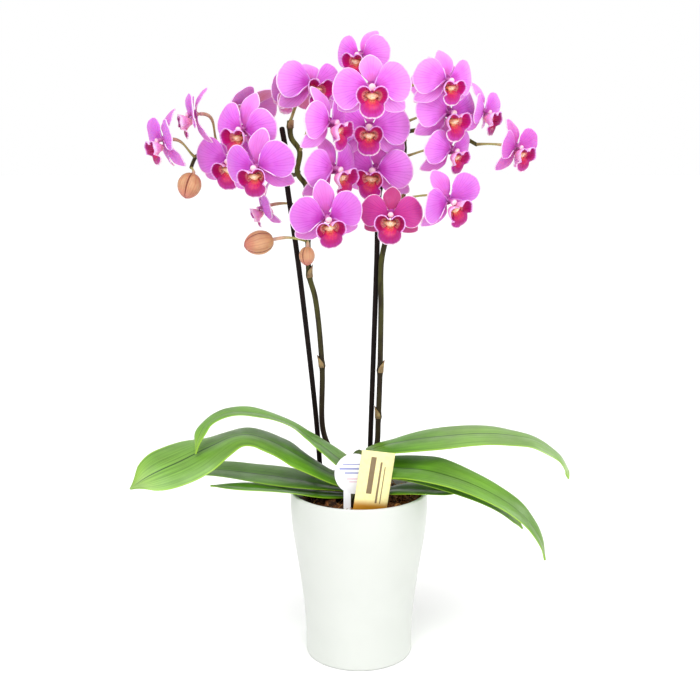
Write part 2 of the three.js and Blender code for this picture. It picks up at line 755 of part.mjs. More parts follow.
// The bark with a plain hole for each thing that stands in it.
function growingMedium() {
  const guests = [
    crown(SEAT_GAP),
    ...Object.values(STAKES).map((line) => stake(line, SEAT_GAP)),
    roundTag(SEAT_GAP),
    stripTag(SEAT_GAP),
  ];
  return guests.reduce((bark, guest) => bark.subtract(guest), barkPlug());
}

const MATERIALS = {
  pot: new THREE.MeshStandardMaterial({ color: 0xedf0ea, roughness: 0.22, metalness: 0 }),
  bark: new THREE.MeshStandardMaterial({ color: 0x4a2f1c, roughness: 0.95, metalness: 0 }),
  crown: new THREE.MeshStandardMaterial({ color: 0x6f7a3a, roughness: 0.7, metalness: 0 }),
  leaf: new THREE.MeshStandardMaterial({ color: 0x4f8a2a, roughness: 0.42, metalness: 0 }),
  spike: new THREE.MeshStandardMaterial({ color: 0x5c5a33, roughness: 0.55, metalness: 0 }),
  stake: new THREE.MeshStandardMaterial({ color: 0x2b1d20, roughness: 0.5, metalness: 0 }),
  petal: new THREE.MeshStandardMaterial({ color: 0xe06ae6, roughness: 0.5, metalness: 0 }),
  bud: new THREE.MeshStandardMaterial({ color: 0xe0a878, roughness: 0.55, metalness: 0 }),
  whiteTag: new THREE.MeshStandardMaterial({ color: 0xf2f2f4, roughness: 0.45, metalness: 0 }),
  goldTag: new THREE.MeshStandardMaterial({ color: 0xd9a93a, roughness: 0.35, metalness: 0.3 }),
};

function node(name, manifold, material) {
  const mesh = new THREE.Mesh(toGeometry(manifold), material);
  mesh.name = name;
  return mesh;
}

function bloomNode(bloom, number) {
  const name = `bloom_${String(number + 1).padStart(2, "0")}`;
  const mesh = node(name, flower(bloom), MATERIALS.petal);
  mesh.quaternion.setFromRotationMatrix(facing(bloom));
  mesh.position.set(...bloom.at);
  return mesh;
}

function budNode({ at, length, width, tip }, number) {
  const mesh = node(`bud_${number + 1}`, bud(length, width), MATERIALS.bud);
  const upwards = new THREE.Vector3(0, 0, 1);
  mesh.quaternion.setFromUnitVectors(upwards, new THREE.Vector3(...tip).normalize());
  mesh.position.set(...at);
  return mesh;
}

function pottedOrchid() {
  const stalks = [...BLOOMS.map(flowerSeat), ...BUDS.map(budSeat)];
  const plant = new THREE.Group();
  plant.add(
    node("pot", pot(), MATERIALS.pot),
    node("growing_medium", growingMedium(), MATERIALS.bark),
    node("crown", crown(), MATERIALS.crown),
    ...LEAVES.map((spec) => node(spec.name, leaf(spec), MATERIALS.leaf)),
    ...Object.keys(SPIKES).map((name) => node(name, spike(name, stalks), MATERIALS.spike)),
    ...Object.entries(STAKES).map(([name, line]) => node(name, stake(line), MATERIALS.stake)),
    ...BLOOMS.map(bloomNode),
    ...BUDS.map(budNode),
    node("tag_round", roundTag(), MATERIALS.whiteTag),
    node("tag_strip", stripTag(), MATERIALS.goldTag),
  );
  return plant;
}

export default pottedOrchid();
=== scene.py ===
"""A potted moth orchid in flower: fine pieces, finishes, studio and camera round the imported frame."""
import logging
import math
import random
from contextlib import contextmanager
from dataclasses import dataclass
from enum import Enum
from functools import cache, partial, reduce
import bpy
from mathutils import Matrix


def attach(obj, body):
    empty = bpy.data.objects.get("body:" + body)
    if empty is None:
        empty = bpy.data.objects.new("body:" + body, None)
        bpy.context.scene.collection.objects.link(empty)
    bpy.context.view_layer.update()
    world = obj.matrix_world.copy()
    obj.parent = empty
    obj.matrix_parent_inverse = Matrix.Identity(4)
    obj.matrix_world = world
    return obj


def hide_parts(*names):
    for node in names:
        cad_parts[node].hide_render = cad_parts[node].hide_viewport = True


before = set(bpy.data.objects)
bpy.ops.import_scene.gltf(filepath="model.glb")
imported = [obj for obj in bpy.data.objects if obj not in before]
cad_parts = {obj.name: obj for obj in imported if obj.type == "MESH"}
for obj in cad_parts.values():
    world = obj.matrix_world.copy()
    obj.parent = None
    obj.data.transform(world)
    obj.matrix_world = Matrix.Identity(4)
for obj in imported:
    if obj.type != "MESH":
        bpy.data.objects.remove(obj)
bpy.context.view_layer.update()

from types import MappingProxyType
from typing import Iterator, Mapping, Sequence

import bpy
import numpy as np
from mathutils import Matrix, Vector

Array = np.ndarray
Point = Sequence[float]
Place = tuple[float, float, float]
Places = tuple[Place, ...]
Stops = tuple[tuple[float, str], ...]
Piece = bpy.types.Object
Material = bpy.types.Material
Socket = bpy.types.NodeSocket
Value = Socket | float | str | Sequence[float]
Feeds = Mapping[str | int, Value]

LOG = logging.getLogger("orchid")
MM = 0.001
# Corners nearer than this, in metres, become one.
MERGE_GAP = 2e-6
# The least length in millimetres that a length is divided by.
NEAR_NOTHING = 1e-3
SMOOTH_ANGLE = math.radians(50)
FULL_TURN = 2 * math.pi
# Random directions run from 0 to this, in radians.
ANY_TURN = 6.3
# The seams round a bud, and where the first one lies, in its shape and in its skin.
BUD_SEAMS = 3
SEAM_TURN = 0.4


class Slot(Enum):
    """The record's material slots."""

    POT = "glazed_pot"
    BARK = "bark"
    CROWN = "crown"
    LEAF = "leaf"
    SPIKE = "spike"
    STAKE = "stake"
    PETAL = "petal"
    BUD = "bud"
    WHITE_LABEL = "white_label"
    GOLD_LABEL = "gold_label"


class Attribute(Enum):
    """Values that a mesh carries for its material."""

    TONE = "tone"
    # How far painted shade darkens a flower's colour.
    DEPTH = "depth"


# Lines and outlines


class Line:
    """A smooth line through points, read by its share of length."""

    LEAST_GAP = 1e-6
    LOOK = 0.004

    def __init__(self, points: Sequence[Point] | Array, dense: int = 24) -> None:
        """Fits the line.

        Args:
            points: The points it passes, in three dimensions.
            dense: How many short steps each stretch between two points gets.
        """
        keys = np.array(points, float)
        keys = np.vstack([2 * keys[0] - keys[1], keys, 2 * keys[-1] - keys[-2]])
        steps = np.linspace(0, 1, dense, endpoint=False)
        spans = [self._span(keys[k : k + 4], steps) for k in range(len(keys) - 3)]
        self.points = np.vstack([*spans, keys[-2]])
        lengths = np.linalg.norm(np.diff(self.points, axis=0), axis=1)
        self.marks = np.concatenate([[0], np.cumsum(lengths)])

    @staticmethod
    def _span(keys: Array, steps: Array) -> Array:
        """Gives the places on the stretch between the two middle ones of four keys.

        Args:
            keys: The four keys, one row each.
            steps: Shares of the way from the second key to the third.

        Returns:
            One place for each share.
        """
        gaps = np.maximum(np.linalg.norm(np.diff(keys, axis=0), axis=1) ** 0.5, Line.LEAST_GAP)
        before, here, after = np.diff(keys, axis=0) / gaps[:, None]
        leave = before - (keys[2] - keys[0]) / (gaps[0] + gaps[1]) + here
        arrive = here - (keys[3] - keys[1]) / (gaps[1] + gaps[2]) + after
        leave, arrive = leave * gaps[1], arrive * gaps[1]
        s = steps[:, None]
        cubic = 2 * keys[1] - 2 * keys[2] + leave + arrive
        square = -3 * keys[1] + 3 * keys[2] - 2 * leave - arrive
        return keys[1] + leave * s + square * s**2 + cubic * s**3

    def at(self, shares: Array) -> Array:
        """Gives the places at shares of the length, one row each."""
        marks = np.clip(shares, 0, 1) * self.marks[-1]
        return np.stack([np.interp(marks, self.marks, axis) for axis in self.points.T], axis=-1)

    def directions(self, shares: Array) -> Array:
        """Gives the unit directions at shares of the length, one row each."""
        ahead = self.at(np.minimum(shares + self.LOOK, 1)) - self.at(np.maximum(shares - self.LOOK, 0))
        return ahead / np.linalg.norm(ahead, axis=-1, keepdims=True)

    def nearest(self, place: Point) -> Array:
        """Gives the line's point that lies nearest to a place."""
        return self.points[np.argmin(np.linalg.norm(self.points - np.array(place), axis=1))]

    def share_at_height(self, height: float) -> float:
        """Gives the share of the length at which the line first reaches a height."""
        return float(self.marks[np.argmax(self.points[:, 2] >= height)] / self.marks[-1])


def smooth_keys(keys: Sequence[float], shares: Array) -> Array:
    """Reads evenly spaced keys at shares from 0 to 1, blended smoothly.

    Args:
        keys: The values at even steps.
        shares: Where to read them.

    Returns:
        One value for each share.
    """
    line = np.array(keys, float)
    padded = np.concatenate([[2 * line[0] - line[1]], line, [2 * line[-1] - line[-2]]])
    place = np.clip(shares, 0, 1) * (len(line) - 1)
    low = np.minimum(place.astype(int), len(line) - 2)
    t = place - low
    a, b, c, d = (padded[low + k] for k in range(4))
    return b + 0.5 * t * (c - a + t * (2 * a - 5 * b + 4 * c - d + t * (3 * (b - c) + d - a)))


def smoothstep(low: float, high: float, value: Array) -> Array:
    """Rises softly from 0 at low to 1 at high."""
    t = np.clip((value - low) / (high - low), 0, 1)
    return t * t * (3 - 2 * t)


def carried_frames(directions: Array, steep: float = 0.9) -> tuple[Array, Array]:
    """Carries a sideways and an upward direction along a line without twisting them.

    Args:
        directions: The line's own unit directions, one row each.
        steep: How nearly a line may start along Y before the frame starts from Z instead.

    Returns:
        The sideways and the upward directions, one row each.
    """
    start = np.cross(directions[0], (0, 1, 0) if abs(directions[0][1]) < steep else (0, 0, 1))
    sides = [start / np.linalg.norm(start)]
    for direction in directions[1:]:
        side = sides[-1] - direction * np.dot(sides[-1], direction)
        sides.append(side / np.linalg.norm(side))
    sides = np.array(sides)
    return sides, np.cross(directions, sides)


def round_line(line: Line, shares: Array, turns: Array, radii: Sequence[float] | Array) -> Array:
    """Lays rings of places round a line.

    Args:
        line: The line in their middle.
        shares: Where along the line each ring sits.
        turns: The places' angles round the line; one column for all rings, or one for each.
        radii: Each ring's radius.

    Returns:
        Places as an array of angles by rings by 3.
    """
    across, up = carried_frames(line.directions(shares))
    cos, sin = np.cos(turns)[..., None], np.sin(turns)[..., None]
    reach = np.array(radii, float)[None, :, None]
    return line.at(shares)[None] + reach * (cos * across[None] + sin * up[None])


def closed_tube(line: Line, shares: Sequence[float], radii: Sequence[float], sides: int) -> Array:
    """Lays rings round a line at shares of its length and closes them to a point at both ends."""
    turns = np.linspace(0, FULL_TURN, sides + 1)[:, None]
    return round_line(line, np.array([0, *shares, 1], float), turns, [0, *radii, 0])


# Work on the bench


class Bench:
    """The operators that pieces are made with, each on its own selection."""

    @staticmethod
    def hold(*pieces: Piece) -> None:
        """Selects these pieces alone and makes the first one active.

        Args:
            pieces: The pieces.
        """
        bpy.ops.object.select_all(action="DESELECT")
        for piece in pieces:
            piece.select_set(True)
        bpy.context.view_layer.objects.active = pieces[0]

    @staticmethod
    @contextmanager
    def editing(piece: Piece, selected: str = "SELECT") -> Iterator[None]:
        """Opens a piece in edit mode for a while.

        Args:
            piece: The piece.
            selected: What happens to its corners first: SELECT or DESELECT.
        """
        Bench.hold(piece)
        bpy.ops.object.mode_set(mode="EDIT")
        bpy.ops.mesh.select_all(action=selected)
        yield
        bpy.ops.object.mode_set(mode="OBJECT")

    @staticmethod
    def corners(piece: Piece) -> Array:
        """Reads the places of a piece's corners.

        Args:
            piece: The piece.

        Returns:
            The places in metres, one row each.
        """
        flat = np.empty(3 * len(piece.data.vertices))
        piece.data.vertices.foreach_get("co", flat)
        return flat.reshape(-1, 3)

    @staticmethod
    def lay(piece: Piece, places: Array) -> None:
        """Lays a piece's corners on places in metres."""
        piece.data.vertices.foreach_set("co", places.ravel())
        piece.data.update()

    @staticmethod
    def sheet(name: str, points: Array) -> Piece:
        """Adds a grid and lays its corners on places; its UV map follows the grid.

        Args:
            name: The new piece's name.
            points: Places in millimetres, as an array of columns by rows by 3.

        Returns:
            The new piece.
        """
        bpy.ops.object.select_all(action="DESELECT")
        columns, rows = points.shape[:2]
        bpy.ops.mesh.primitive_grid_add(
            x_subdivisions=columns - 1, y_subdivisions=rows - 1, size=2, calc_uvs=True
        )
        piece = bpy.context.object
        piece.name = name
        shares = (Bench.corners(piece)[:, :2] + 1) / 2
        column, row = np.rint(shares * (columns - 1, rows - 1)).astype(int).T
        Bench.lay(piece, points[column, row] * MM)
        return piece

    @staticmethod
    def rod(name: str, line: Line, shares: Sequence[float], radii: Sequence[float], sides: int) -> Piece:
        """Adds a closed tube round a line.

        Args:
            name: The new piece's name.
            line: The tube's middle line.
            shares: Where along the line each ring sits.
            radii: Each ring's radius.
            sides: How many corners a ring has.

        Returns:
            The new piece.
        """
        piece = Bench.sheet(name, closed_tube(line, shares, radii, sides))
        Bench.close(piece)
        return piece

    @staticmethod
    def close(piece: Piece) -> None:
        """Merges doubled corners and turns all faces outwards.

        Args:
            piece: A closed piece.
        """
        with Bench.editing(piece):
            bpy.ops.mesh.remove_doubles(threshold=MERGE_GAP)
            bpy.ops.mesh.normals_make_consistent(inside=False)

    @staticmethod
    def face(piece: Piece, direction: Point) -> None:
        """Merges an open sheet's doubled corners and turns its face to a direction.

        Args:
            piece: The sheet.
            direction: Where its faces point on the whole.
        """
        normals = sum((p.normal * p.area for p in piece.data.polygons), Vector())
        with Bench.editing(piece):
            bpy.ops.mesh.remove_doubles(threshold=MERGE_GAP)
            if normals.dot(Vector(direction)) < 0:
                bpy.ops.mesh.flip_normals()

    @staticmethod
    def modify(piece: Piece, kind: str, **settings: object) -> None:
        """Adds a modifier and applies it.

        Args:
            piece: The piece.
            kind: The modifier's type.
            settings: Its settings.
        """
        Bench.hold(piece)
        modifier = piece.modifiers.new(kind.lower(), kind)
        for name, value in settings.items():
            setattr(modifier, name, value)
        bpy.ops.object.modifier_apply(modifier=modifier.name)

    @staticmethod
    def join(name: str, pieces: Sequence[Piece]) -> Piece:
        """Joins pieces into the first one and names it.

        Args:
            name: The joined piece's name.
            pieces: The pieces.

        Returns:
            The joined piece.
        """
        Bench.hold(*pieces)
        if len(pieces) > 1:
            bpy.ops.object.join()
        pieces[0].name = name
        pieces[0].data.name = name
        return pieces[0]

    @staticmethod
    def dress(piece: Piece, materials: Sequence[Material], index: int = 0) -> None:
        """Gives the piece a row of materials and paints all of it with one of them.

        Args:
            piece: The piece.
            materials: The row.
            index: The place in the row of the one that paints it.
        """
        piece.data.materials.clear()
        for material in materials:
            piece.data.materials.append(material)
        piece.data.polygons.foreach_set("material_index", [index] * len(piece.data.polygons))

    @staticmethod
    def mark(piece: Piece, attribute: Attribute, value: float) -> None:
        """Writes one value to all of the piece's corners."""
        layer = piece.data.attributes.new(attribute.value, "FLOAT", "POINT")
        layer.data.foreach_set("value", [value] * len(piece.data.vertices))

    @staticmethod
    def finish(piece: Piece, node: str, slot: Slot) -> None:
        """Shades the piece smooth and lets it stand for a CAD node.

        Args:
            piece: The piece, in its place and dressed.
            node: The CAD node that it replaces.
            slot: The record's slot that it takes; not used.
        """
        Bench.hold(piece)
        bpy.ops.object.shade_smooth_by_angle(angle=SMOOTH_ANGLE)
        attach(piece, "root")
        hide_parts(node)
        LOG.info("%s stands for %s with %d faces", piece.name, node, len(piece.data.polygons))


# Shading


def tint(code: str) -> tuple[float, float, float, float]:
    """Turns a hex colour as seen on a screen into Blender's linear one.

    Args:
        code: The hex colour.

    Returns:
        Red, green, blue and full opacity.
    """
    shares = [int(code[k : k + 2], 16) / 255 for k in (1, 3, 5)]
    linear = [c / 12.92 if c <= 0.04045 else ((c + 0.055) / 1.055) ** 2.4 for c in shares]
    return (*linear, 1.0)


class Wiring:
    """Short calls that add and link nodes in one node tree."""

    def __init__(self, tree: bpy.types.NodeTree) -> None:
        """Starts on a tree."""
        self.tree = tree

    def feed(self, target: Socket, value: Value) -> None:
        """Links a socket to a target, or writes a plain value on it.

        Args:
            target: The input that is fed.
            value: The output that feeds it, or the value; a colour may be a hex code.
        """
        if isinstance(value, bpy.types.NodeSocket):
            self.tree.links.new(value, target)
        else:
            target.default_value = tint(value) if isinstance(value, str) else value

    def node(self, kind: str, feeds: Feeds = MappingProxyType({}), **settings: object) -> bpy.types.Node:
        """Adds a node.

        Args:
            kind: The node's type.
            feeds: What feeds each of its inputs, by the input's name or number.
            settings: The node's own properties.

        Returns:
            The node.
        """
        made = self.tree.nodes.new(kind)
        for name, setting in settings.items():
            setattr(made, name, setting)
        for label, value in feeds.items():
            self.feed(made.inputs[label], value)
        return made

    def math(self, operation: str, *values: Socket | float) -> Socket:
        """Gives a Math node's result."""
        return self.node("ShaderNodeMath", dict(enumerate(values)), operation=operation).outputs[0]

    def times(self, first: Socket | float, *others: Socket | float) -> Socket:
        """Gives the product of all the values."""
        return reduce(partial(self.math, "MULTIPLY"), others, first)

    def less(self, first: Socket | float, second: Socket | float) -> Socket:
        """Takes the second value from the first."""
        return self.math("SUBTRACT", first, second)

    def scaled(self, value: Socket, factor: float, start: Socket | float) -> Socket:
        """Gives a value times a factor, on top of a start."""
        return self.math("MULTIPLY_ADD", value, factor, start)

    def step(self, value: Socket, low: Socket | float, high: Socket | float) -> Socket:
        """Gives a soft rise from 0 at low to 1 at high; high may lie below low."""
        feeds = {"Value": value, "From Min": low, "From Max": high}
        return self.node("ShaderNodeMapRange", feeds, interpolation_type="SMOOTHSTEP").outputs["Result"]

    def ramp(self, value: Socket, stops: Stops) -> Socket:
        """Adds a colour ramp.

        Args:
            value: What it reads.
            stops: Its stops, each a place and a hex colour.

        Returns:
            The colour.
        """
        made = self.node("ShaderNodeValToRGB", {"Fac": value})
        made.color_ramp.interpolation = "EASE"
        elements = made.color_ramp.elements
        while len(elements) < len(stops):
            elements.new(0.5)
        for element, (place, code) in zip(elements, stops):
            element.position = place
            element.color = tint(code)
        return made.outputs["Color"]

    def mix(self, share: Socket | float, first: Socket | str, second: Socket | str) -> Socket:
        """Gives the first colour turned into the second one by a share."""
        feeds = {"Factor": share, 6: first, 7: second}
        return self.node("ShaderNodeMix", feeds, data_type="RGBA").outputs[2]

    def noise(self, place: Socket, scale: Socket | float, detail: float = 3.0) -> Socket:
        """Gives a soft noise from 0 to 1 at a scale in cycles per unit."""
        feeds = {"Vector": place, "Scale": scale, "Detail": detail}
        return self.node("ShaderNodeTexNoise", feeds).outputs["Fac"]

    def stretched(self, place: Socket, scale: Point) -> Socket:
        """Gives a place scaled by its own amount along each axis."""
        return self.node("ShaderNodeMapping", {"Vector": place, "Scale": scale}).outputs["Vector"]


class Groups:
    """Shader node groups that several finishes use, each built once."""

    @staticmethod
    def _start(name: str, inputs: Sequence[str], output: str) -> tuple[Wiring, dict[str, Socket], Socket]:
        """Starts a group.

        Args:
            name: The group's name.
            inputs: Its inputs' labels; Place takes a vector and the others take numbers.
            output: The label of its one output, a number.

        Returns:
            The group's wiring, its inputs by label, and its output.
        """
        tree = bpy.data.node_groups.new(name, "ShaderNodeTree")
        for label in inputs:
            kind = "NodeSocketVector" if label == "Place" else "NodeSocketFloat"
            tree.interface.new_socket(label, in_out="INPUT", socket_type=kind)
        tree.interface.new_socket(output, in_out="OUTPUT", socket_type="NodeSocketFloat")
        wiring = Wiring(tree)
        start = wiring.node("NodeGroupInput")
        end = wiring.node("NodeGroupOutput")
        return wiring, {label: start.outputs[label] for label in inputs}, end.inputs[output]

    @staticmethod
    @cache
    def veins() -> bpy.types.NodeTree:
        """Draws fine lines that fan out from a root and fork once on their way.

        Returns:
            The group.
        """
        labels = ("Place", "Along", "Across", "Count", "Fineness")
        wiring, given, out = Groups._start("Forking veins", labels, "Mask")
        wander = wiring.noise(given["Place"], scale=260.0, detail=2.0)
        across = wiring.scaled(wander, 0.022, start=given["Across"])

        def lines(times: float) -> Socket:
            """Gives the lines at a multiple of the count."""
            wave = wiring.math("ABSOLUTE", wiring.math("SINE", wiring.times(across, given["Count"], times)))
            return wiring.math("POWER", wiring.less(1.0, wave), given["Fineness"])

        forked = wiring.times(lines(2.0), wiring.step(given["Along"], 0.35, 0.6))
        wiring.feed(out, wiring.math("MAXIMUM", lines(1.0), forked))
        return wiring.tree

    @staticmethod
    @cache
    def mottle() -> bpy.types.NodeTree:
        """Draws soft patches between 0 and 1.

        Returns:
            The group.
        """
        wiring, given, out = Groups._start("Soft patches", ("Place", "Scale", "Low", "High"), "Value")
        noise = wiring.noise(given["Place"], given["Scale"], detail=4.0)
        wiring.feed(out, wiring.step(noise, given["Low"], given["High"]))
        return wiring.tree


class Shade(Wiring):
    """One material with its Principled shader, and the coordinates that its patterns read."""

    def __init__(self, name: str, roughness: float, **uniform: float) -> None:
        """Makes the material.

        Args:
            name: The material's name.
            roughness: The shader's roughness where nothing else feeds it.
            uniform: Values for the shader's other sockets, with underscores for spaces.
        """
        self.material = bpy.data.materials.new(name)
        self.material.use_nodes = True
        super().__init__(self.material.node_tree)
        self.tree.nodes.clear()
        sockets = {label.replace("_", " ").title().replace("Ior", "IOR"): v for label, v in uniform.items()}
        self.shader = self.node("ShaderNodeBsdfPrincipled", {"Roughness": roughness, **sockets})
        self.node("ShaderNodeOutputMaterial", {"Surface": self.shader.outputs["BSDF"]})
        coordinates = self.node("ShaderNodeTexCoord")
        self.place = coordinates.outputs["Object"]
        self.uv = coordinates.outputs["UV"]
        self.u, self.v, _ = self.node("ShaderNodeSeparateXYZ", {0: self.uv}).outputs

    def group(self, tree: bpy.types.NodeTree, **values: Socket | float) -> Socket:
        """Places a group, feeds its inputs by their labels in lower case, and gives its output."""
        feeds = {label.title(): value for label, value in values.items()}
        return self.node("ShaderNodeGroup", feeds, node_tree=tree).outputs[0]

    def patches(self, scale: float, low: float = 0.35, high: float = 0.65) -> Socket:
        """Gives soft patches on Object coordinates."""
        return self.group(Groups.mottle(), place=self.place, scale=scale, low=low, high=high)

    def veins(self, along: Socket, across: Socket, count: float, fineness: float) -> Socket:
        """Gives veins that run along one coordinate and stand side by side on the other."""
        return self.group(Groups.veins(), place=self.place, along=along, across=across, count=count,
                          fineness=fineness)

    def off_middle(self, value: Socket) -> Socket:
        """Gives the distance from 0.5."""
        return self.math("ABSOLUTE", self.less(value, 0.5))

    def own(self, attribute: Attribute) -> Socket:
        """Gives one of the piece's own values."""
        return self.node("ShaderNodeAttribute", attribute_name=attribute.value).outputs["Fac"]

    def colour(self, value: Socket) -> None:
        """Feeds the base colour."""
        self.feed(self.shader.inputs["Base Color"], value)

    def rough(self, low: float, high: float, value: Socket) -> None:
        """Feeds the roughness, from low to high as a value goes from 0 to 1."""
        self.feed(self.shader.inputs["Roughness"], self.scaled(value, high - low, start=low))

    def bump(self, height: Socket, depth: float, strength: float) -> None:
        """Feeds the normal from a height, its depth in millimetres."""
        made = self.node("ShaderNodeBump", {"Height": height, "Distance": depth * MM, "Strength": strength})
        self.feed(self.shader.inputs["Normal"], made.outputs["Normal"])


@dataclass(frozen=True)
class PetalFinish:
    """A petal or sepal face: a root colour, a blade colour, veins that fan out, a pale margin."""

    name: str
    root: str
    inner: str
    blade: str
    outer: str
    margin: str
    vein: str
    deep: str
    vein_strength: float = 0.8
    vein_at_edge: float = 0.4
    vein_count: float = 46.0
    vein_fineness: float = 5.0
    cloud_strength: float = 0.3
    cloud_scale: float = 95.0
    margin_strength: float = 0.8
    margin_wander: float = 0.05

    def build(self) -> Material:
        """Builds the material.

        Returns:
            The material.
        """
        shade = Shade(self.name, 0.5, sheen_weight=0.05, sheen_roughness=0.4,
                      subsurface_weight=0.2, subsurface_scale=0.0025, specular_ior_level=0.25)
        veins = self.veins(shade)
        stops = ((0.0, self.root), (0.14, self.inner), (0.42, self.blade), (0.95, self.outer))
        drawn = shade.mix(shade.times(veins, self.vein_strength), shade.ramp(shade.u, stops), self.vein)
        clouds = shade.times(shade.patches(self.cloud_scale), self.cloud_strength)
        clouded = shade.mix(clouds, drawn, self.outer)
        # Painted shade: the flower's depth darkens the face towards the vein colour.
        with_painted_shade = shade.mix(shade.own(Attribute.DEPTH), clouded, self.vein)
        crimson = shade.mix(veins, self.deep, self.root)
        toned = shade.mix(shade.own(Attribute.TONE), with_painted_shade, crimson)
        edge = shade.times(self.edge(shade), self.margin_strength)
        shade.colour(shade.mix(edge, toned, self.margin))
        shade.rough(0.42, 0.58, shade.patches(600.0))
        shade.bump(shade.less(shade.noise(shade.place, 1500.0), veins), depth=0.12, strength=0.35)
        return shade.material

    def veins(self, shade: Shade) -> Socket:
        """Gives the veins, which weaken towards the edge."""
        inwards = shade.scaled(shade.step(shade.u, 1.0, 0.25), 1 - self.vein_at_edge, self.vein_at_edge)
        return shade.times(shade.veins(shade.u, shade.v, self.vein_count, self.vein_fineness), inwards)

    def edge(self, shade: Shade) -> Socket:
        """Gives the margin, which wanders a little and ends on either side of the root."""
        u = shade.scaled(shade.noise(shade.place, 420.0), self.margin_wander, start=shade.u)
        return shade.times(shade.step(u, 0.97, 1.025), shade.step(shade.off_middle(shade.v), 0.5, 0.375))


@dataclass(frozen=True)
class LipFinish:
    """The lip's inner face: a speckled throat, crimson side lobes, and a middle lobe to a pale edge."""

    name: str = "Lip inside"
    middle: Stops = ((0.0, "#fff0d8"), (0.18, "#f8bc94"), (0.3, "#e45860"), (0.42, "#c8186c"),
                     (0.66, "#b40c78"), (0.9, "#bc2ca0"), (0.985, "#f4d8f0"))
    side: Stops = ((0.0, "#fff0e0"), (0.42, "#fcd8cc"), (0.56, "#f4a0a4"), (0.65, "#d01874"),
                   (0.82, "#bc0874"), (0.93, "#b41888"), (0.98, "#dca0e4"))
    mark: str = "#d4345c"
    streak: str = "#900850"
    # The dark colour that the painted shade on the lip's lobes runs to.
    deep: str = "#840040"
    mark_strength: float = 0.8
    streak_strength: float = 0.35
    spot_scale: float = 620.0

    def build(self) -> Material:
        """Builds the material.

        Returns:
            The material.
        """
        shade = Shade(self.name, 0.38, subsurface_weight=0.15, subsurface_scale=0.002,
                      specular_ior_level=0.3)
        off_middle = shade.times(shade.off_middle(shade.v), 2.0)
        middle, side = (shade.ramp(shade.u, stops) for stops in (self.middle, self.side))
        base = shade.mix(shade.step(off_middle, 0.33, 0.39), middle, side)
        stripes = shade.veins(shade.u, shade.v, count=46.0, fineness=2.2)
        throat = shade.times(shade.step(shade.u, 0.66, 0.5), shade.step(shade.u, 0.1, 0.25))
        marks = shade.times(shade.math("MAXIMUM", stripes, self.spots(shade)), throat)
        painted = shade.mix(shade.times(marks, self.mark_strength), base, self.mark)
        outer = shade.step(shade.u, 0.4, 0.7)
        streaked = shade.mix(shade.times(stripes, self.streak_strength, outer), painted, self.streak)
        # Painted shade: the flower's depth darkens the outer lip, short of its rim, towards the deep colour.
        lobes = shade.times(shade.own(Attribute.DEPTH), outer, shade.step(shade.u, 1.0, 0.93))
        shade.colour(shade.mix(lobes, streaked, self.deep))
        shade.rough(0.3, 0.5, shade.patches(500.0))
        shade.bump(shade.less(shade.noise(shade.place, 1300.0), stripes), depth=0.12, strength=0.4)
        return shade.material

    def spots(self, shade: Shade) -> Socket:
        """Gives the throat's small round spots."""
        dots = shade.node("ShaderNodeTexVoronoi", {"Vector": shade.place, "Scale": self.spot_scale})
        return shade.step(dots.outputs["Distance"], 0.46, 0.34)


@dataclass(frozen=True)
class FleshFinish:
    """Smooth living tissue whose colour runs along the piece, with soft patches over it."""

    name: str
    stops: Stops
    patch: str
    patch_strength: float = 0.4
    patch_scale: float = 240.0
    roughness: float = 0.45
    across: bool = False

    def build(self) -> Material:
        """Builds the material.

        Returns:
            The material.
        """
        shade = Shade(self.name, self.roughness, subsurface_weight=0.15, subsurface_scale=0.002,
                      specular_ior_level=0.4)
        base = shade.ramp(shade.u if self.across else shade.v, self.stops)
        patches = shade.times(shade.patches(self.patch_scale), self.patch_strength)
        shade.colour(shade.mix(patches, base, self.patch))
        shade.rough(self.roughness - 0.08, self.roughness + 0.1, shade.patches(700.0))
        shade.bump(shade.noise(shade.place, 1400.0), depth=0.1, strength=0.3)
        return shade.material


@dataclass(frozen=True)
class BudFinish:
    """A bud's skin: a colour that runs to the tip, fine lengthwise veins and dark seams."""

    stops: Stops
    vein: str
    seam: str
    seams: int = BUD_SEAMS
    seam_turn: float = SEAM_TURN
    seam_strength: float = 0.9
    vein_strength: float = 0.5
    blush_strength: float = 0.3

    def build(self) -> Material:
        """Builds the material.

        Returns:
            The material.
        """
        shade = Shade("Bud skin", 0.5, subsurface_weight=0.12, subsurface_scale=0.002,
                      specular_ior_level=0.35)
        veins = shade.veins(shade.v, shade.u, count=44.0, fineness=3.0)
        blush = shade.times(shade.patches(140.0), self.blush_strength)
        lines = shade.scaled(veins, self.vein_strength, start=blush)
        veined = shade.mix(lines, shade.ramp(shade.v, self.stops), self.vein)
        turns = shade.scaled(shade.u, math.pi * self.seams, start=self.seam_turn)
        off_seam = shade.math("ABSOLUTE", shade.math("SINE", turns))
        seam = shade.times(shade.step(off_seam, 0.2, 0.03), self.seam_strength)
        shade.colour(shade.mix(seam, veined, self.seam))
        shade.rough(0.42, 0.6, shade.patches(700.0))
        shade.bump(shade.less(shade.noise(shade.place, 1400.0), veins), depth=0.14, strength=0.35)
        return shade.material


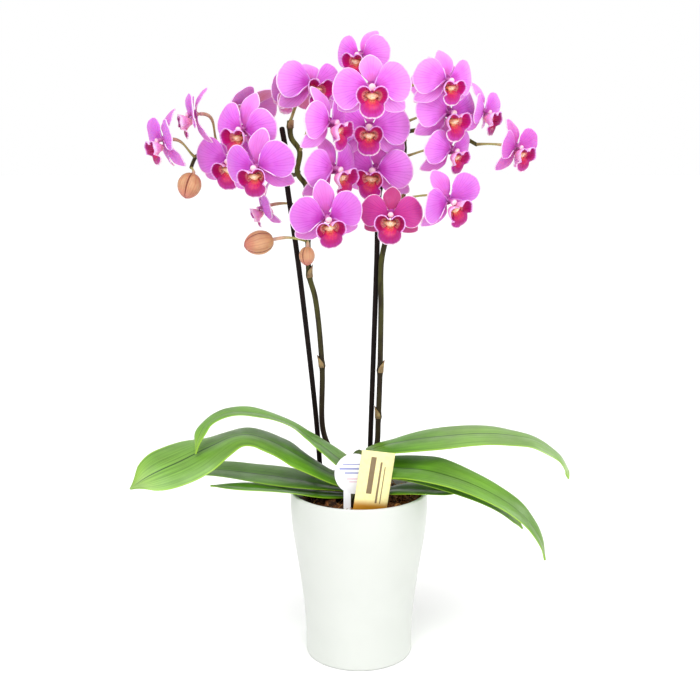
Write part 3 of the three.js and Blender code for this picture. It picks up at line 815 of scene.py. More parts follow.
@dataclass(frozen=True)
class LeafFinish:
    """A leaf face: fine lengthwise veins, a midrib line that paints the shade of the groove on the face, a
    painted pale sheen on the outer blade, paler edges.
    """

    name: str
    root: str
    blade: str
    shadow: str
    edge: str
    # The midrib line's colour; on the face it is painted shade of the groove.
    midrib: str
    # The pale colour of the painted sheen.
    pale: str
    midrib_strength: float
    roughness: float
    gloss: float
    cloud_strength: float = 0.55
    line_strength: float = 0.6
    edge_strength: float = 0.8

    def build(self) -> Material:
        """Builds the material.

        Returns:
            The material.
        """
        shade = Shade(self.name, self.roughness, coat_weight=self.gloss, coat_roughness=0.3,
                      specular_ior_level=0.35)
        stops = ((0.0, self.root), (0.16, self.blade), (0.86, self.blade), (1.0, self.edge))
        clouds = shade.times(shade.patches(26.0), self.cloud_strength)
        clouded = shade.mix(clouds, shade.ramp(shade.u, stops), self.shadow)
        # Painted sheen: the leaf's tone lightens the blade away from the root towards the pale colour.
        light = shade.times(shade.own(Attribute.TONE), shade.step(shade.u, 0.12, 0.5))
        with_painted_sheen = shade.mix(light, clouded, self.pale)
        lengthwise = shade.noise(shade.stretched(shade.uv, (3.0, 46.0, 1.0)), scale=1.0, detail=4.0)
        lined = shade.mix(shade.step(lengthwise, 0.4, 0.7), with_painted_sheen, self.shadow)
        veined = shade.mix(self.line_strength, with_painted_sheen, lined)
        off_middle = shade.off_middle(shade.v)
        edge = shade.times(shade.step(off_middle, 0.455, 0.495), self.edge_strength)
        edged = shade.mix(edge, veined, self.edge)
        # On the face the midrib line is painted shade of the groove there; on the underside the line is
        # paler.
        rib = shade.times(shade.step(off_middle, 0.022, 0.006), self.midrib_strength)
        shade.colour(shade.mix(rib, edged, self.midrib))
        shade.rough(self.roughness - 0.07, self.roughness + 0.12, shade.patches(70.0))
        height = shade.scaled(shade.noise(shade.place, 900.0), 0.35, start=lengthwise)
        shade.bump(height, depth=0.25, strength=0.3)
        return shade.material


@dataclass(frozen=True)
class StemFinish:
    """A stem's skin: one colour low down, another above, with lengthwise dark patches."""

    name: str
    low: str
    high: str
    patch: str
    turning: tuple[float, float] = (0.2, 0.46)
    patch_strength: float = 0.75
    patch_range: tuple[float, float] = (0.4, 0.62)
    roughness: float = 0.42

    def build(self) -> Material:
        """Builds the material.

        Returns:
            The material.
        """
        shade = Shade(self.name, self.roughness, specular_ior_level=0.1)
        parts = shade.node("ShaderNodeSeparateXYZ", {0: shade.place})
        base = shade.mix(shade.step(parts.outputs["Z"], *self.turning), self.low, self.high)
        lengthwise = shade.stretched(shade.place, (1.0, 1.0, 0.22))
        low, high = self.patch_range
        streaks = shade.group(Groups.mottle(), place=lengthwise, scale=210.0, low=low, high=high)
        shade.colour(shade.mix(shade.times(streaks, self.patch_strength), base, self.patch))
        shade.rough(self.roughness - 0.08, self.roughness + 0.15, shade.patches(300.0))
        shade.bump(shade.noise(lengthwise, 1200.0), depth=0.2, strength=0.4)
        return shade.material


@dataclass(frozen=True)
class GlazeFinish:
    """A white glaze over clay: even, a little pooled, with a soft gloss and faint specks."""

    name: str = "White glaze"
    glaze: str = "#cbcec9"
    pool: str = "#c7cac5"
    speck: str = "#bcc0b4"
    speck_strength: float = 0.1

    def build(self) -> Material:
        """Builds the material.

        Returns:
            The material.
        """
        shade = Shade(self.name, 0.36, coat_weight=0.3, coat_roughness=0.2, specular_ior_level=0.4)
        pooled = shade.mix(shade.patches(14.0), self.glaze, self.pool)
        specks = shade.step(shade.noise(shade.place, 900.0, detail=1.0), 0.76, 0.82)
        shade.colour(shade.mix(shade.times(specks, self.speck_strength), pooled, self.speck))
        shade.rough(0.32, 0.42, shade.patches(40.0))
        shade.bump(shade.noise(shade.place, 55.0, detail=2.0), depth=0.12, strength=0.12)
        return shade.material


@dataclass(frozen=True)
class BarkFinish:
    """Rough bark: layered browns, each chip with its own tone, and pale broken fibres."""

    name: str
    dark: str
    light: str
    fibre: str
    worn_strength: float = 0.5

    def build(self) -> Material:
        """Builds the material.

        Returns:
            The material.
        """
        shade = Shade(self.name, 0.9, specular_ior_level=0.25)
        base = shade.mix(shade.own(Attribute.TONE), self.dark, self.light)
        layers = shade.noise(shade.stretched(shade.place, (1.0, 0.35, 2.2)), 320.0, detail=6.0)
        layered = shade.mix(shade.step(layers, 0.38, 0.66), base, self.dark)
        worn = shade.times(shade.patches(700.0, 0.56, 0.7), self.worn_strength)
        shade.colour(shade.mix(worn, layered, self.fibre))
        shade.rough(0.78, 0.98, layers)
        shade.bump(layers, depth=0.9, strength=0.8)
        return shade.material


@dataclass(frozen=True)
class LabelFinish:
    """A printed label: a ground that runs from one colour to another, and plain ruled bars."""

    name: str
    top: str
    foot: str
    turning: tuple[float, float]
    bars: tuple[tuple[float, float, float, float, str], ...]
    metallic: float = 0.0
    roughness: float = 0.4
    ink_strength: float = 0.9
    fleck_strength: float = 0.12

    def build(self) -> Material:
        """Builds the material; each bar is given as left, right, low, high and colour in UV.

        Returns:
            The material.
        """
        shade = Shade(self.name, self.roughness, coat_weight=0.25, coat_roughness=0.2)
        upper = shade.step(shade.v, *self.turning)
        flecks = shade.times(shade.patches(320.0), self.fleck_strength)
        colour = shade.mix(flecks, shade.mix(upper, self.foot, self.top), self.foot)
        for left, right, low, high, ink in self.bars:
            inside = [shade.math("GREATER_THAN", shade.u, left), shade.math("LESS_THAN", shade.u, right),
                      shade.math("GREATER_THAN", shade.v, low), shade.math("LESS_THAN", shade.v, high)]
            colour = shade.mix(shade.times(*inside, self.ink_strength), colour, ink)
        shade.colour(colour)
        if self.metallic:
            foil = shade.times(shade.less(1.0, upper), self.metallic)
            shade.feed(shade.shader.inputs["Metallic"], foil)
        shade.rough(self.roughness - 0.08, self.roughness + 0.1, shade.patches(120.0))
        shade.bump(shade.noise(shade.place, 700.0), depth=0.06, strength=0.3)
        return shade.material


# The pot and what stands in it


@dataclass(frozen=True)
class Pot:
    """A thin-walled round pot with a flat foot, a flared wall and a rounded rim."""

    wall_line: tuple[tuple[float, float], ...] = (
        (3, 47.2), (25, 47.4), (50, 49.4), (80, 53.4), (112, 58.4), (134, 60.2), (148.8, 60.2),
    )
    height: float = 150.0
    wall: float = 3.0
    floor: float = 4.0
    foot_rounding: float = 2.4
    base_ring: float = 30.0
    floor_ring: float = 25.0
    corner: float = 4.0
    spare: float = 1.0
    wall_rings: int = 22
    foot_rings: int = 6
    rim_rings: int = 9
    turn_steps: int = 112

    def profile(self) -> Array:
        """Draws the wall's section, from the base's middle round to the floor's.

        Returns:
            Radius and height, one row each.
        """
        line = Line([(r, 0, z) for z, r in self.wall_line])
        outer = line.at(np.linspace(0, 1, self.wall_rings))[:, [0, 2]]
        turns = np.linspace(0, math.pi / 2, self.foot_rings)
        foot = np.stack([self.wall_line[0][1] - self.foot_rounding * (1 - np.sin(turns)),
                         self.foot_rounding * (1 - np.cos(turns))], axis=1)
        half = self.wall / 2
        ridge = self.wall_line[-1][1] - half
        bends = np.linspace(0, math.pi, self.rim_rings)
        rim = np.stack([ridge + half * np.cos(bends), self.height - half + half * np.sin(bends)], axis=1)
        inner = outer[::-1][2:-2] - (self.wall, 0)
        inner = inner[inner[:, 1] > self.floor + self.corner]
        reach = inner[-1][0]
        corner = [(reach - self.corner / 4, self.floor + self.corner / 2), (reach - self.corner, self.floor)]
        outer = outer[outer[:, 1] > self.foot_rounding + self.spare]
        outer = outer[outer[:, 1] < self.height - half - self.spare]
        middle = [(self.floor_ring, self.floor), (0, self.floor)]
        return np.vstack([(0, 0), (self.base_ring, 0), foot, outer, rim, inner, corner, middle])

    def build(self, glaze: Material) -> None:
        """Spins the section round the upright axis.

        Args:
            glaze: The pot's finish.
        """
        bpy.ops.object.select_all(action="DESELECT")
        bpy.ops.mesh.primitive_plane_add(size=MM)
        piece = bpy.context.object
        piece.name = "glazed_pot"
        with Bench.editing(piece):
            bpy.ops.mesh.merge(type="CENTER")
            for across, up in np.diff(self.profile(), axis=0) * MM:
                bpy.ops.mesh.extrude_region_move(TRANSFORM_OT_translate={"value": (across, 0, up)})
            bpy.ops.mesh.select_all(action="SELECT")
            bpy.ops.mesh.spin(steps=self.turn_steps, angle=FULL_TURN, center=(0, 0, 0), axis=(0, 0, 1))
        Bench.close(piece)
        Bench.dress(piece, [glaze])
        Bench.finish(piece, "pot", Slot.POT)


@dataclass(frozen=True)
class Bed:
    """The plug of bark that fills the pot, its top uneven in long lumps and a fine grain."""

    top: float = 138.0
    radius: float = 56.4
    relief: float = 5.0
    long_waves: tuple[float, float, float] = (0.31, 0.27, 0.23)
    long_starts: tuple[float, float] = (1.7, -0.6)
    grain: float = 0.8
    grain_waves: tuple[float, float] = (1.9, 1.7)
    grain_start: float = 0.4
    sink: float = 2.0
    edge: float = 0.96
    tone: float = 0.1
    sides: int = 72
    rings: int = 16
    side_line: tuple[tuple[float, float], ...] = ((46.0, 60.0), (53.5, 100.0), (56.2, 128.0), (55.0, 134.0))

    def height(self, x: Array | float, y: Array | float) -> Array | float:
        """Gives the height of the lumps at a place.

        Args:
            x: The place's x.
            y: The place's y.

        Returns:
            The height in millimetres.
        """
        across, deep, both = self.long_waves
        first, second = self.long_starts
        lumps = np.sin(across * x + first) * np.cos(deep * y + second) + np.sin(both * (x + y))
        return self.top + 0.5 * self.relief * lumps

    def spot(self, margin: float, share: float, turn: float) -> tuple[float, float]:
        """Gives x and y at a turn round the middle and a share of the area inside the margin."""
        reach = (self.radius - margin) * math.sqrt(share)
        return reach * math.cos(turn), reach * math.sin(turn)

    def build(self) -> Piece:
        """Builds the plug.

        Returns:
            The plug.
        """
        turns = np.linspace(0, FULL_TURN, self.sides + 1)
        cos, sin = np.cos(turns), np.sin(turns)
        side_line = ((0.0, self.side_line[0][1]), *self.side_line)
        rows = [np.stack([r * cos, r * sin, np.full_like(turns, z)], -1) for r, z in side_line]
        for share in np.linspace(self.edge, 0, self.rings):
            x, y = self.radius * share * cos, self.radius * share * sin
            first, second = self.grain_waves
            grain = self.grain * np.sin(first * x + self.grain_start) * np.sin(second * y)
            rows.append(np.stack([x, y, self.height(x, y) - self.sink + grain], -1))
        piece = Bench.sheet("bark_plug", np.stack(rows, 1))
        Bench.close(piece)
        Bench.mark(piece, Attribute.TONE, self.tone)
        return piece


@dataclass(frozen=True)
class Chips:
    """The loose chips: a few split shapes and the many copies of them that lie on the bed."""

    count: int = 330
    sizes: Places = ((13, 8, 4), (10, 9, 5), (16, 7, 3.4), (8, 6, 5), (12, 10, 3))
    roughness: float = 1.3
    first_seed: int = 3
    margin: float = 6.5
    least_share: float = 0.02
    lifts: tuple[float, float] = (-2.0, 1.6)
    tilt: float = 0.35
    scales: tuple[float, float] = (0.5, 0.95)
    warm_side: float = 6.0
    tone: float = 0.25
    warmth: float = 0.5
    tone_spread: float = 0.16

    def shapes(self) -> list[Piece]:
        """Models the split shapes that the others are copied from.

        Returns:
            The shapes.
        """
        made = []
        for number, size in enumerate(self.sizes):
            bpy.ops.object.select_all(action="DESELECT")
            bpy.ops.mesh.primitive_cube_add(size=1, scale=[side * MM for side in size])
            bpy.ops.object.transform_apply(location=False, rotation=False, scale=True)
            chip = bpy.context.object
            with Bench.editing(chip):
                bpy.ops.mesh.subdivide(number_cuts=1)
                bpy.ops.transform.vertex_random(offset=self.roughness * MM, seed=number + self.first_seed)
            made.append(chip)
        return made

    def strew(self, bed: Bed, source: random.Random) -> list[Piece]:
        """Strews the copies over the bed, warmer ones on its right.

        Args:
            bed: The bed that they lie on.
            source: Where their places, turns, sizes and tones come from.

        Returns:
            The chips.
        """
        shapes, made = self.shapes(), []
        for _ in range(self.count):
            x, y = bed.spot(self.margin, source.uniform(self.least_share, 1), source.uniform(0, FULL_TURN))
            pose = Matrix.Translation(Vector((x, y, bed.height(x, y) + source.uniform(*self.lifts))) * MM)
            turns = [source.gauss(0, self.tilt), source.gauss(0, self.tilt), source.uniform(0, ANY_TURN)]
            for axis, turn in zip("XYZ", turns):
                pose = pose @ Matrix.Rotation(turn, 4, axis)
            shape = source.choice(shapes)
            chip = shape.copy()
            chip.data = shape.data.copy()
            bpy.context.scene.collection.objects.link(chip)
            chip.data.transform(pose @ Matrix.Scale(source.uniform(*self.scales), 4))
            tone = self.tone + self.warmth * (x > self.warm_side) + source.gauss(0, self.tone_spread)
            Bench.mark(chip, Attribute.TONE, min(1, max(0, tone)))
            made.append(chip)
        for shape in shapes:
            bpy.data.objects.remove(shape)
        return made


@dataclass(frozen=True)
class Fibres:
    """The thin fibres that curl over the bed, more of them on its right."""

    count: int = 150
    margin: float = 9.0
    least_share: float = 0.05
    side: tuple[float, float] = (-0.35, 1.1)
    edge: float = 3.5
    bends: int = 5
    bend: float = 0.6
    stride: float = 5.0
    lift: float = 3.0
    wave: float = 1.6
    wave_turn: float = 1.5
    radii: tuple[float, float] = (0.22, 0.5)
    tones: tuple[float, float] = (0.5, 1.0)
    rings: int = 8
    sides: int = 4

    def path(self, bed: Bed, source: random.Random) -> Line:
        """Gives a line that wanders over the bed.

        Args:
            bed: The bed that the fibre lies on.
            source: Where its place and bends come from.

        Returns:
            The fibre's middle line.
        """
        x, y = bed.spot(self.margin, source.uniform(self.least_share, 1), source.gauss(*self.side))
        heading, points = source.uniform(0, ANY_TURN), []
        for number in range(self.bends):
            inside = min(1, (bed.radius - self.edge) / max(NEAR_NOTHING, math.hypot(x, y)))
            x, y = x * inside, y * inside
            lift = self.lift + self.wave * math.sin(number * self.wave_turn + heading)
            points.append((x, y, bed.height(x, y) + lift))
            heading += source.gauss(0, self.bend)
            x, y = x + self.stride * math.cos(heading), y + self.stride * math.sin(heading)
        return Line(points)

    def curl(self, bed: Bed, source: random.Random) -> Piece:
        """Makes one fibre.

        Args:
            bed: The bed that it lies on.
            source: Where its path, thickness and tone come from.

        Returns:
            The fibre.
        """
        path = self.path(bed, source)
        radii = [source.uniform(*self.radii)] * self.rings
        piece = Bench.sheet("fibre", closed_tube(path, np.linspace(0, 1, self.rings), radii, self.sides))
        Bench.mark(piece, Attribute.TONE, source.uniform(*self.tones))
        return piece


@dataclass(frozen=True)
class Bark:
    """All the bark in the pot: its bed with the chips and fibres on it."""

    bed: Bed = Bed()
    chips: Chips = Chips()
    fibres: Fibres = Fibres()
    seed: int = 11

    def build(self, bark: Material, fibre: Material) -> None:
        """Builds the bed with all that lies on it as one piece.

        Args:
            bark: The finish of bed and chips.
            fibre: The fibres' finish.
        """
        source = random.Random(self.seed)
        rough = Bench.join("bark_bed", [self.bed.build(), *self.chips.strew(self.bed, source)])
        Bench.dress(rough, [bark, fibre])
        curls = [self.fibres.curl(self.bed, source) for _ in range(self.fibres.count)]
        fibres = Bench.join("fibres", curls)
        Bench.close(fibres)
        Bench.dress(fibres, [bark, fibre], 1)
        Bench.finish(Bench.join("bark_bed", [rough, fibres]), "growing_medium", Slot.BARK)


@dataclass(frozen=True)
class Crown:
    """The short stem that carries the leaves, its sheaths, and the thick roots that arch from it."""

    radius: float = 10.4
    heights: tuple[float, float] = (122.0, 185.0)
    foot: float = 0.62
    swell: float = 2.4
    bluntness: float = 4.2
    ridge: float = 0.05
    ridge_turns: float = 16.0
    rings: int = 40
    sides: int = 28
    root_angles: tuple[float, ...] = (-84, -112, 58, 122)
    root_radius: float = 2.2
    root_reach: float = 36.0
    root_line: tuple[tuple[float, float], ...] = (
        (0.2, 146), (0.42, 148), (0.72, 142.5), (1.0, 133), (1.06, 124),
    )
    root_waves: tuple[tuple[float, float], ...] = ((0.08, 9.0), (0.05, 23.0))
    root_rings: int = 26
    root_sides: int = 12

    def stem(self) -> Piece:
        """Builds the stem with a slight ridge at each leaf sheath.

        Returns:
            The stem.
        """
        low, high = self.heights
        shares = np.linspace(0, 1, self.rings)[:-1]
        rounded = np.minimum(1, self.foot + self.swell * shares)
        rounded *= np.sqrt(np.clip((1 - shares) * self.bluntness, 0, 1))
        ridges = 1 + self.ridge * np.abs(np.sin(shares * self.ridge_turns))
        line = Line([(0, 0, low), (0, 0, (low + high) / 2), (0, 0, high)])
        return Bench.rod("crown_stem", line, shares, self.radius * rounded * ridges, self.sides)

    def root(self, degrees: float, number: int) -> Piece:
        """Builds one root, its thickness a little uneven.

        Args:
            degrees: The way it leaves the stem, seen from above.
            number: Its number, which shifts its unevenness.

        Returns:
            The root.
        """
        turn = math.radians(degrees)
        points = [(share * self.root_reach * math.cos(turn), share * self.root_reach * math.sin(turn), z)
                  for share, z in self.root_line]
        shares = np.linspace(0, 1, self.root_rings)
        (broad, slow), (fine, fast) = self.root_waves
        uneven = 1 + broad * np.sin(slow * shares + number) + fine * np.sin(fast * shares)
        return Bench.rod("root", Line(points), shares, self.root_radius * uneven, self.root_sides)

    def build(self, sheath: Material, skin: Material) -> None:
        """Builds the stem and its roots as one piece.

        Args:
            sheath: The stem's finish.
            skin: The roots' finish.
        """
        stem = self.stem()
        Bench.dress(stem, [sheath, skin])
        roots = Bench.join("roots", [self.root(a, k) for k, a in enumerate(self.root_angles)])
        Bench.dress(roots, [sheath, skin], 1)
        Bench.finish(Bench.join("crown_and_roots", [stem, roots]), "crown", Slot.CROWN)


# Leaves


@dataclass(frozen=True)
class Leaf:
    """A thick strap leaf: its middle line, width, fold, and the lean of its face to the viewer."""

    name: str
    width: float
    fold: float
    lean: tuple[float, ...]
    line: Places
    outline: tuple[float, ...]
    # The strength of the painted sheen on the outer blade.
    tone: float = 0.0
    thickness: float = 1.7
    edge_loss: float = 0.75
    edge_power: float = 3.0
    least_width: float = 0.02
    tip_end: float = 1.004
    tip_bluntness: float = 14.0
    groove_rounding: float = 0.012
    groove_floor: float = 0.11
    swell: float = 0.05
    swell_loss: float = 0.4
    wave: float = 0.05
    wave_turns: float = 9.0
    wave_offset: float = 2.0
    steps_along: int = 72
    steps_across: int = 22

    def frame(self, s: Array) -> tuple[Array, Array]:
        """Gives the leaf's directions along its line, turned by its lean.

        Args:
            s: Shares of the line's length.

        Returns:
            The direction across the leaf and the one out of its face, one row each.
        """
        along = Line(self.line).directions(s)
        side = np.cross(along, (0, 0, 1))
        side /= np.linalg.norm(side, axis=1, keepdims=True)
        up = np.cross(side, along)
        turn = -np.radians(smooth_keys(self.lean, s)) * np.sign(side[:, 1])
        cos, sin = np.cos(turn)[:, None], np.sin(turn)[:, None]
        return side * cos + np.cross(along, side) * sin, up * cos + np.cross(along, up) * sin

    def surface(self, phase: float) -> Array:
        """Gives the surface in the middle of the leaf's thickness.

        Args:
            phase: Where the waves of its edge start, in radians.

        Returns:
            Places; the first axis runs along the leaf and the second one across it.
        """
        s = np.linspace(0, 1, self.steps_along)
        side, up = self.frame(s)
        t = np.linspace(-1, 1, self.steps_across + 1)[None, :, None]
        tip = np.sqrt(np.clip((self.tip_end - s) * self.tip_bluntness, 0, 1))
        half = 0.5 * self.width * np.maximum(smooth_keys(self.outline, s), self.least_width) * tip
        s, half = s[:, None, None], half[:, None, None]
        groove = self.fold * (np.sqrt(t**2 + self.groove_rounding) - self.groove_floor)
        crown = self.swell * np.sin(math.pi * np.abs(t)) * (1 - self.swell_loss * s)
        wave = self.wave * t**2 * np.sin(self.wave_turns * s + self.wave_offset * np.sign(t) + phase)
        rise = half * (groove + crown + wave)
        return Line(self.line).at(s[:, 0]) + side[:, None] * half * t + up[:, None] * rise

    def build(self, phase: float, face: Material, back: Material) -> None:
        """Builds the blade with its underside.

        Args:
            phase: Where the waves of its edge start, in radians.
            face: The finish of its upper side.
            back: The finish of its underside and edge.
        """
        piece = Bench.sheet(self.name.replace("leaf", "blade"), self.surface(phase))
        thin = piece.vertex_groups.new(name="thickness")
        for number, t in enumerate(np.linspace(-1, 1, self.steps_across + 1)):
            corners = list(range(number * self.steps_along, (number + 1) * self.steps_along))
            thin.add(corners, float(1 - self.edge_loss * abs(t) ** self.edge_power), "REPLACE")
        Bench.face(piece, (0, 0, 1))
        Bench.dress(piece, [face, back])
        Bench.modify(piece, "SOLIDIFY", thickness=self.thickness * MM, offset=0,
                     vertex_group="thickness", material_offset=1, material_offset_rim=1)
        # The tone carries the strength of the leaf's painted sheen.
        Bench.mark(piece, Attribute.TONE, self.tone)
        Bench.finish(piece, self.name, Slot.LEAF)


# Flowers


class Face(Enum):
    """The places of a flower's finishes in its paint; a sheet's underside comes after its face."""

    PETAL = 0
    SEPAL = 2
    LIP = 4
    COLUMN = 6
    CALLUS = 7
    BACK = 8


@dataclass(frozen=True)
class Tepal:
    """A petal or sepal in shares of the flower's span; its outline runs from root to tip."""

    length: float
    places: tuple[float, ...]
    upper: tuple[float, ...]
    lower: tuple[float, ...]
    back: float
    cup: float
    claw: float = 0.03
    arch: float = 0.6
    crowding: float = 0.85
    ruffles: tuple[tuple[float, float], ...] = ((0.010, 13.0), (0.006, 29.0))
    ruffle_power: float = 2.5
    rib: float = 0.0022
    rib_turns: float = 46.0
    rows: int = 15
    columns: int = 42

    def outline(self) -> Array:
        """Draws the outline from the root's lower side round the tip to its upper side.

        Returns:
            Places along and off the middle line, one row each.
        """
        reach = self.length - self.claw
        lower = [(s * reach, -w, 0) for s, w in zip(self.places, self.lower)]
        upper = [(s * reach, w, 0) for s, w in zip(self.places, self.upper)]
        return Line(lower + upper[::-1]).at(np.linspace(0, 1, self.columns + 1))[:, :2]

    def surface(self, span: float, sweep: float, lift: float, source: random.Random) -> Array:
        """Gives the surface of one tepal.

        Args:
            span: The flower's span in millimetres.
            sweep: How far it is swept back, in degrees.
            lift: The angle of its middle line above level, in degrees.
            source: Where its waves come from.

        Returns:
            Places; the first axis runs out from the root and the second one round the outline.
        """
        u = np.linspace(0, 1, self.rows + 1)[:, None] ** self.crowding
        v = np.linspace(0, 1, self.columns + 1)[None]
        reach, off = np.moveaxis(u[..., None] * self.outline()[None], -1, 0)
        s = np.clip(reach / (self.length - self.claw), 0, 1)
        along = self.claw + reach
        phases = [source.uniform(0, ANY_TURN) for _ in range(3)]
        waves = zip(self.ruffles, phases)
        ruffle = sum(depth * np.sin(turns * v + phase) for (depth, turns), phase in waves)
        ribs = self.rib * np.sin(self.rib_turns * v + phases[-1]) * u
        z = -self.back - math.tan(math.radians(sweep)) * along * s + self.cup * np.sin(math.pi * s)
        z = z - self.arch * off**2 + ruffle * u**self.ruffle_power + ribs
        turn = math.radians(lift)
        x = along * math.cos(turn) - off * math.sin(turn)
        y = along * math.sin(turn) + off * math.cos(turn)
        return span * np.stack([x, y, z], -1)


PETAL = Tepal(
    length=0.51, back=-0.01, cup=0.045,
    places=(0, 0.08, 0.25, 0.5, 0.75, 0.95, 1.0),
    upper=(0.012, 0.06, 0.2, 0.272, 0.24, 0.11, 0.02),
    lower=(0.012, 0.035, 0.1, 0.235, 0.24, 0.13, 0.04),
)
DORSAL = Tepal(
    length=0.49, back=0.03, cup=0.03, rows=12, columns=30,
    places=(0, 0.12, 0.33, 0.62, 0.85, 1.0),
    upper=(0.02, 0.05, 0.115, 0.15, 0.105, 0.02),
    lower=(0.02, 0.05, 0.115, 0.15, 0.105, 0.02),
)
LATERAL = Tepal(
    length=0.52, back=0.03, cup=0.03, rows=12, columns=30,
    places=(0, 0.12, 0.33, 0.62, 0.85, 1.0),
    upper=(0.02, 0.05, 0.115, 0.145, 0.1, 0.015),
    lower=(0.02, 0.05, 0.125, 0.145, 0.09, 0.015),
)


@dataclass(frozen=True)
class Lip:
    """The three-lobed lip in shares of the span: a cup whose rim is read round from straight down."""

    root: tuple[float, float] = (-0.12, 0.03)
    widest: float = 156.0
    angles: tuple[float, ...] = (0, 6, 14, 28, 40, 50, 58, 68, 84, 100, 116, 130, 144, 156)
    reach: tuple[float, ...] = (0.275, 0.283, 0.282, 0.27, 0.245, 0.21, 0.19, 0.2, 0.222, 0.225, 0.212,
                                0.18, 0.13, 0.07)
    side_lobes: tuple[float, float] = (46.0, 64.0)
    middle_depth: tuple[float, ...] = (0, 0.07, 0.12, 0.15, 0.155, 0.125)
    side_depth: tuple[float, ...] = (0, 0.02, 0.05, 0.1, 0.165, 0.24)
    side_curl: float = 0.12
    frill: float = 0.007
    frill_turns: float = 9.0
    rows: int = 16
    columns: int = 72

    def surface(self, span: float, source: random.Random) -> Array:
        """Gives the lip's surface.

        Args:
            span: The lip's own span in millimetres.
            source: Where its waves come from.

        Returns:
            Places; the first axis runs out from the throat and the second one round the rim.
        """
        q = np.linspace(0, 1, self.rows + 1)[:, None]
        degrees = np.linspace(-self.widest, self.widest, self.columns + 1)[None]
        turn = np.radians(degrees)
        r = np.interp(np.abs(degrees), self.angles, self.reach) * q
        side = smoothstep(*self.side_lobes, np.abs(degrees))
        middle, ear = smooth_keys(self.middle_depth, q), smooth_keys(self.side_depth, q)
        frill = self.frill * np.sin(turn * self.frill_turns + source.uniform(0, ANY_TURN)) * q**3
        x = r * np.sin(turn) * (1 - self.side_curl * side * q**2)
        y = self.root[0] - r * np.cos(turn)
        z = self.root[1] + middle * (1 - side) + ear * side + frill
        return span * np.stack([x, y, z], -1)


@dataclass(frozen=True)
class Column:
    """The column over the lip with its blunt cap, and the flower's back down to the stalk."""

    line: Places = ((0, 0.0, -0.03), (0, 0.006, 0.05), (0, -0.014, 0.15))
    shares: tuple[float, ...] = (0, 0.2, 0.45, 0.6, 0.72, 0.76, 0.86, 0.94, 0.985)
    radii: tuple[float, ...] = (0.038, 0.034, 0.032, 0.034, 0.039, 0.045, 0.047, 0.04, 0.023)
    sides: int = 16
    back_line: Places = ((0, 0, -0.1), (0, 0, -0.06), (0, 0, 0.012))
    back_shares: tuple[float, ...] = (0, 0.3, 0.5, 0.72, 0.9)
    back_radii: tuple[float, ...] = (0.024, 0.026, 0.05, 0.078, 0.07)
    back_sides: int = 14

    def build(self, span: float) -> tuple[Piece, Piece]:
        """Builds both parts.

        Args:
            span: The flower's span in millimetres.

        Returns:
            The column and the back.
        """
        line, radii = Line(span * np.array(self.line)), span * np.array(self.radii)
        column = Bench.rod("column", line, self.shares, radii, self.sides)
        line, radii = Line(span * np.array(self.back_line)), span * np.array(self.back_radii)
        return column, Bench.rod("back", line, self.back_shares, radii, self.back_sides)


@dataclass(frozen=True)
class Callus:
    """The small forked lump at the lip's root, in shares of the lip's span."""

    at: Place = (0, -0.125, 0.115)
    radius: float = 0.042
    stretch: Place = (1.5, 0.95, 1.1)
    fork: float = 0.55
    segments: int = 14
    rings: int = 8

    def build(self, span: float) -> Piece:
        """Builds the lump.

        Args:
            span: The lip's own span in millimetres.

        Returns:
            The lump.
        """
        size = self.radius * span * MM
        bpy.ops.object.select_all(action="DESELECT")
        bpy.ops.mesh.primitive_uv_sphere_add(segments=self.segments, ring_count=self.rings, radius=size)
        piece = bpy.context.object
        places = Bench.corners(piece) / size
        fork = 1 + self.fork * np.abs(places[:, :1]) * (places[:, 1:2] > 0)
        Bench.lay(piece, places * self.stretch * fork * size + np.array(self.at) * span * MM)
        return piece


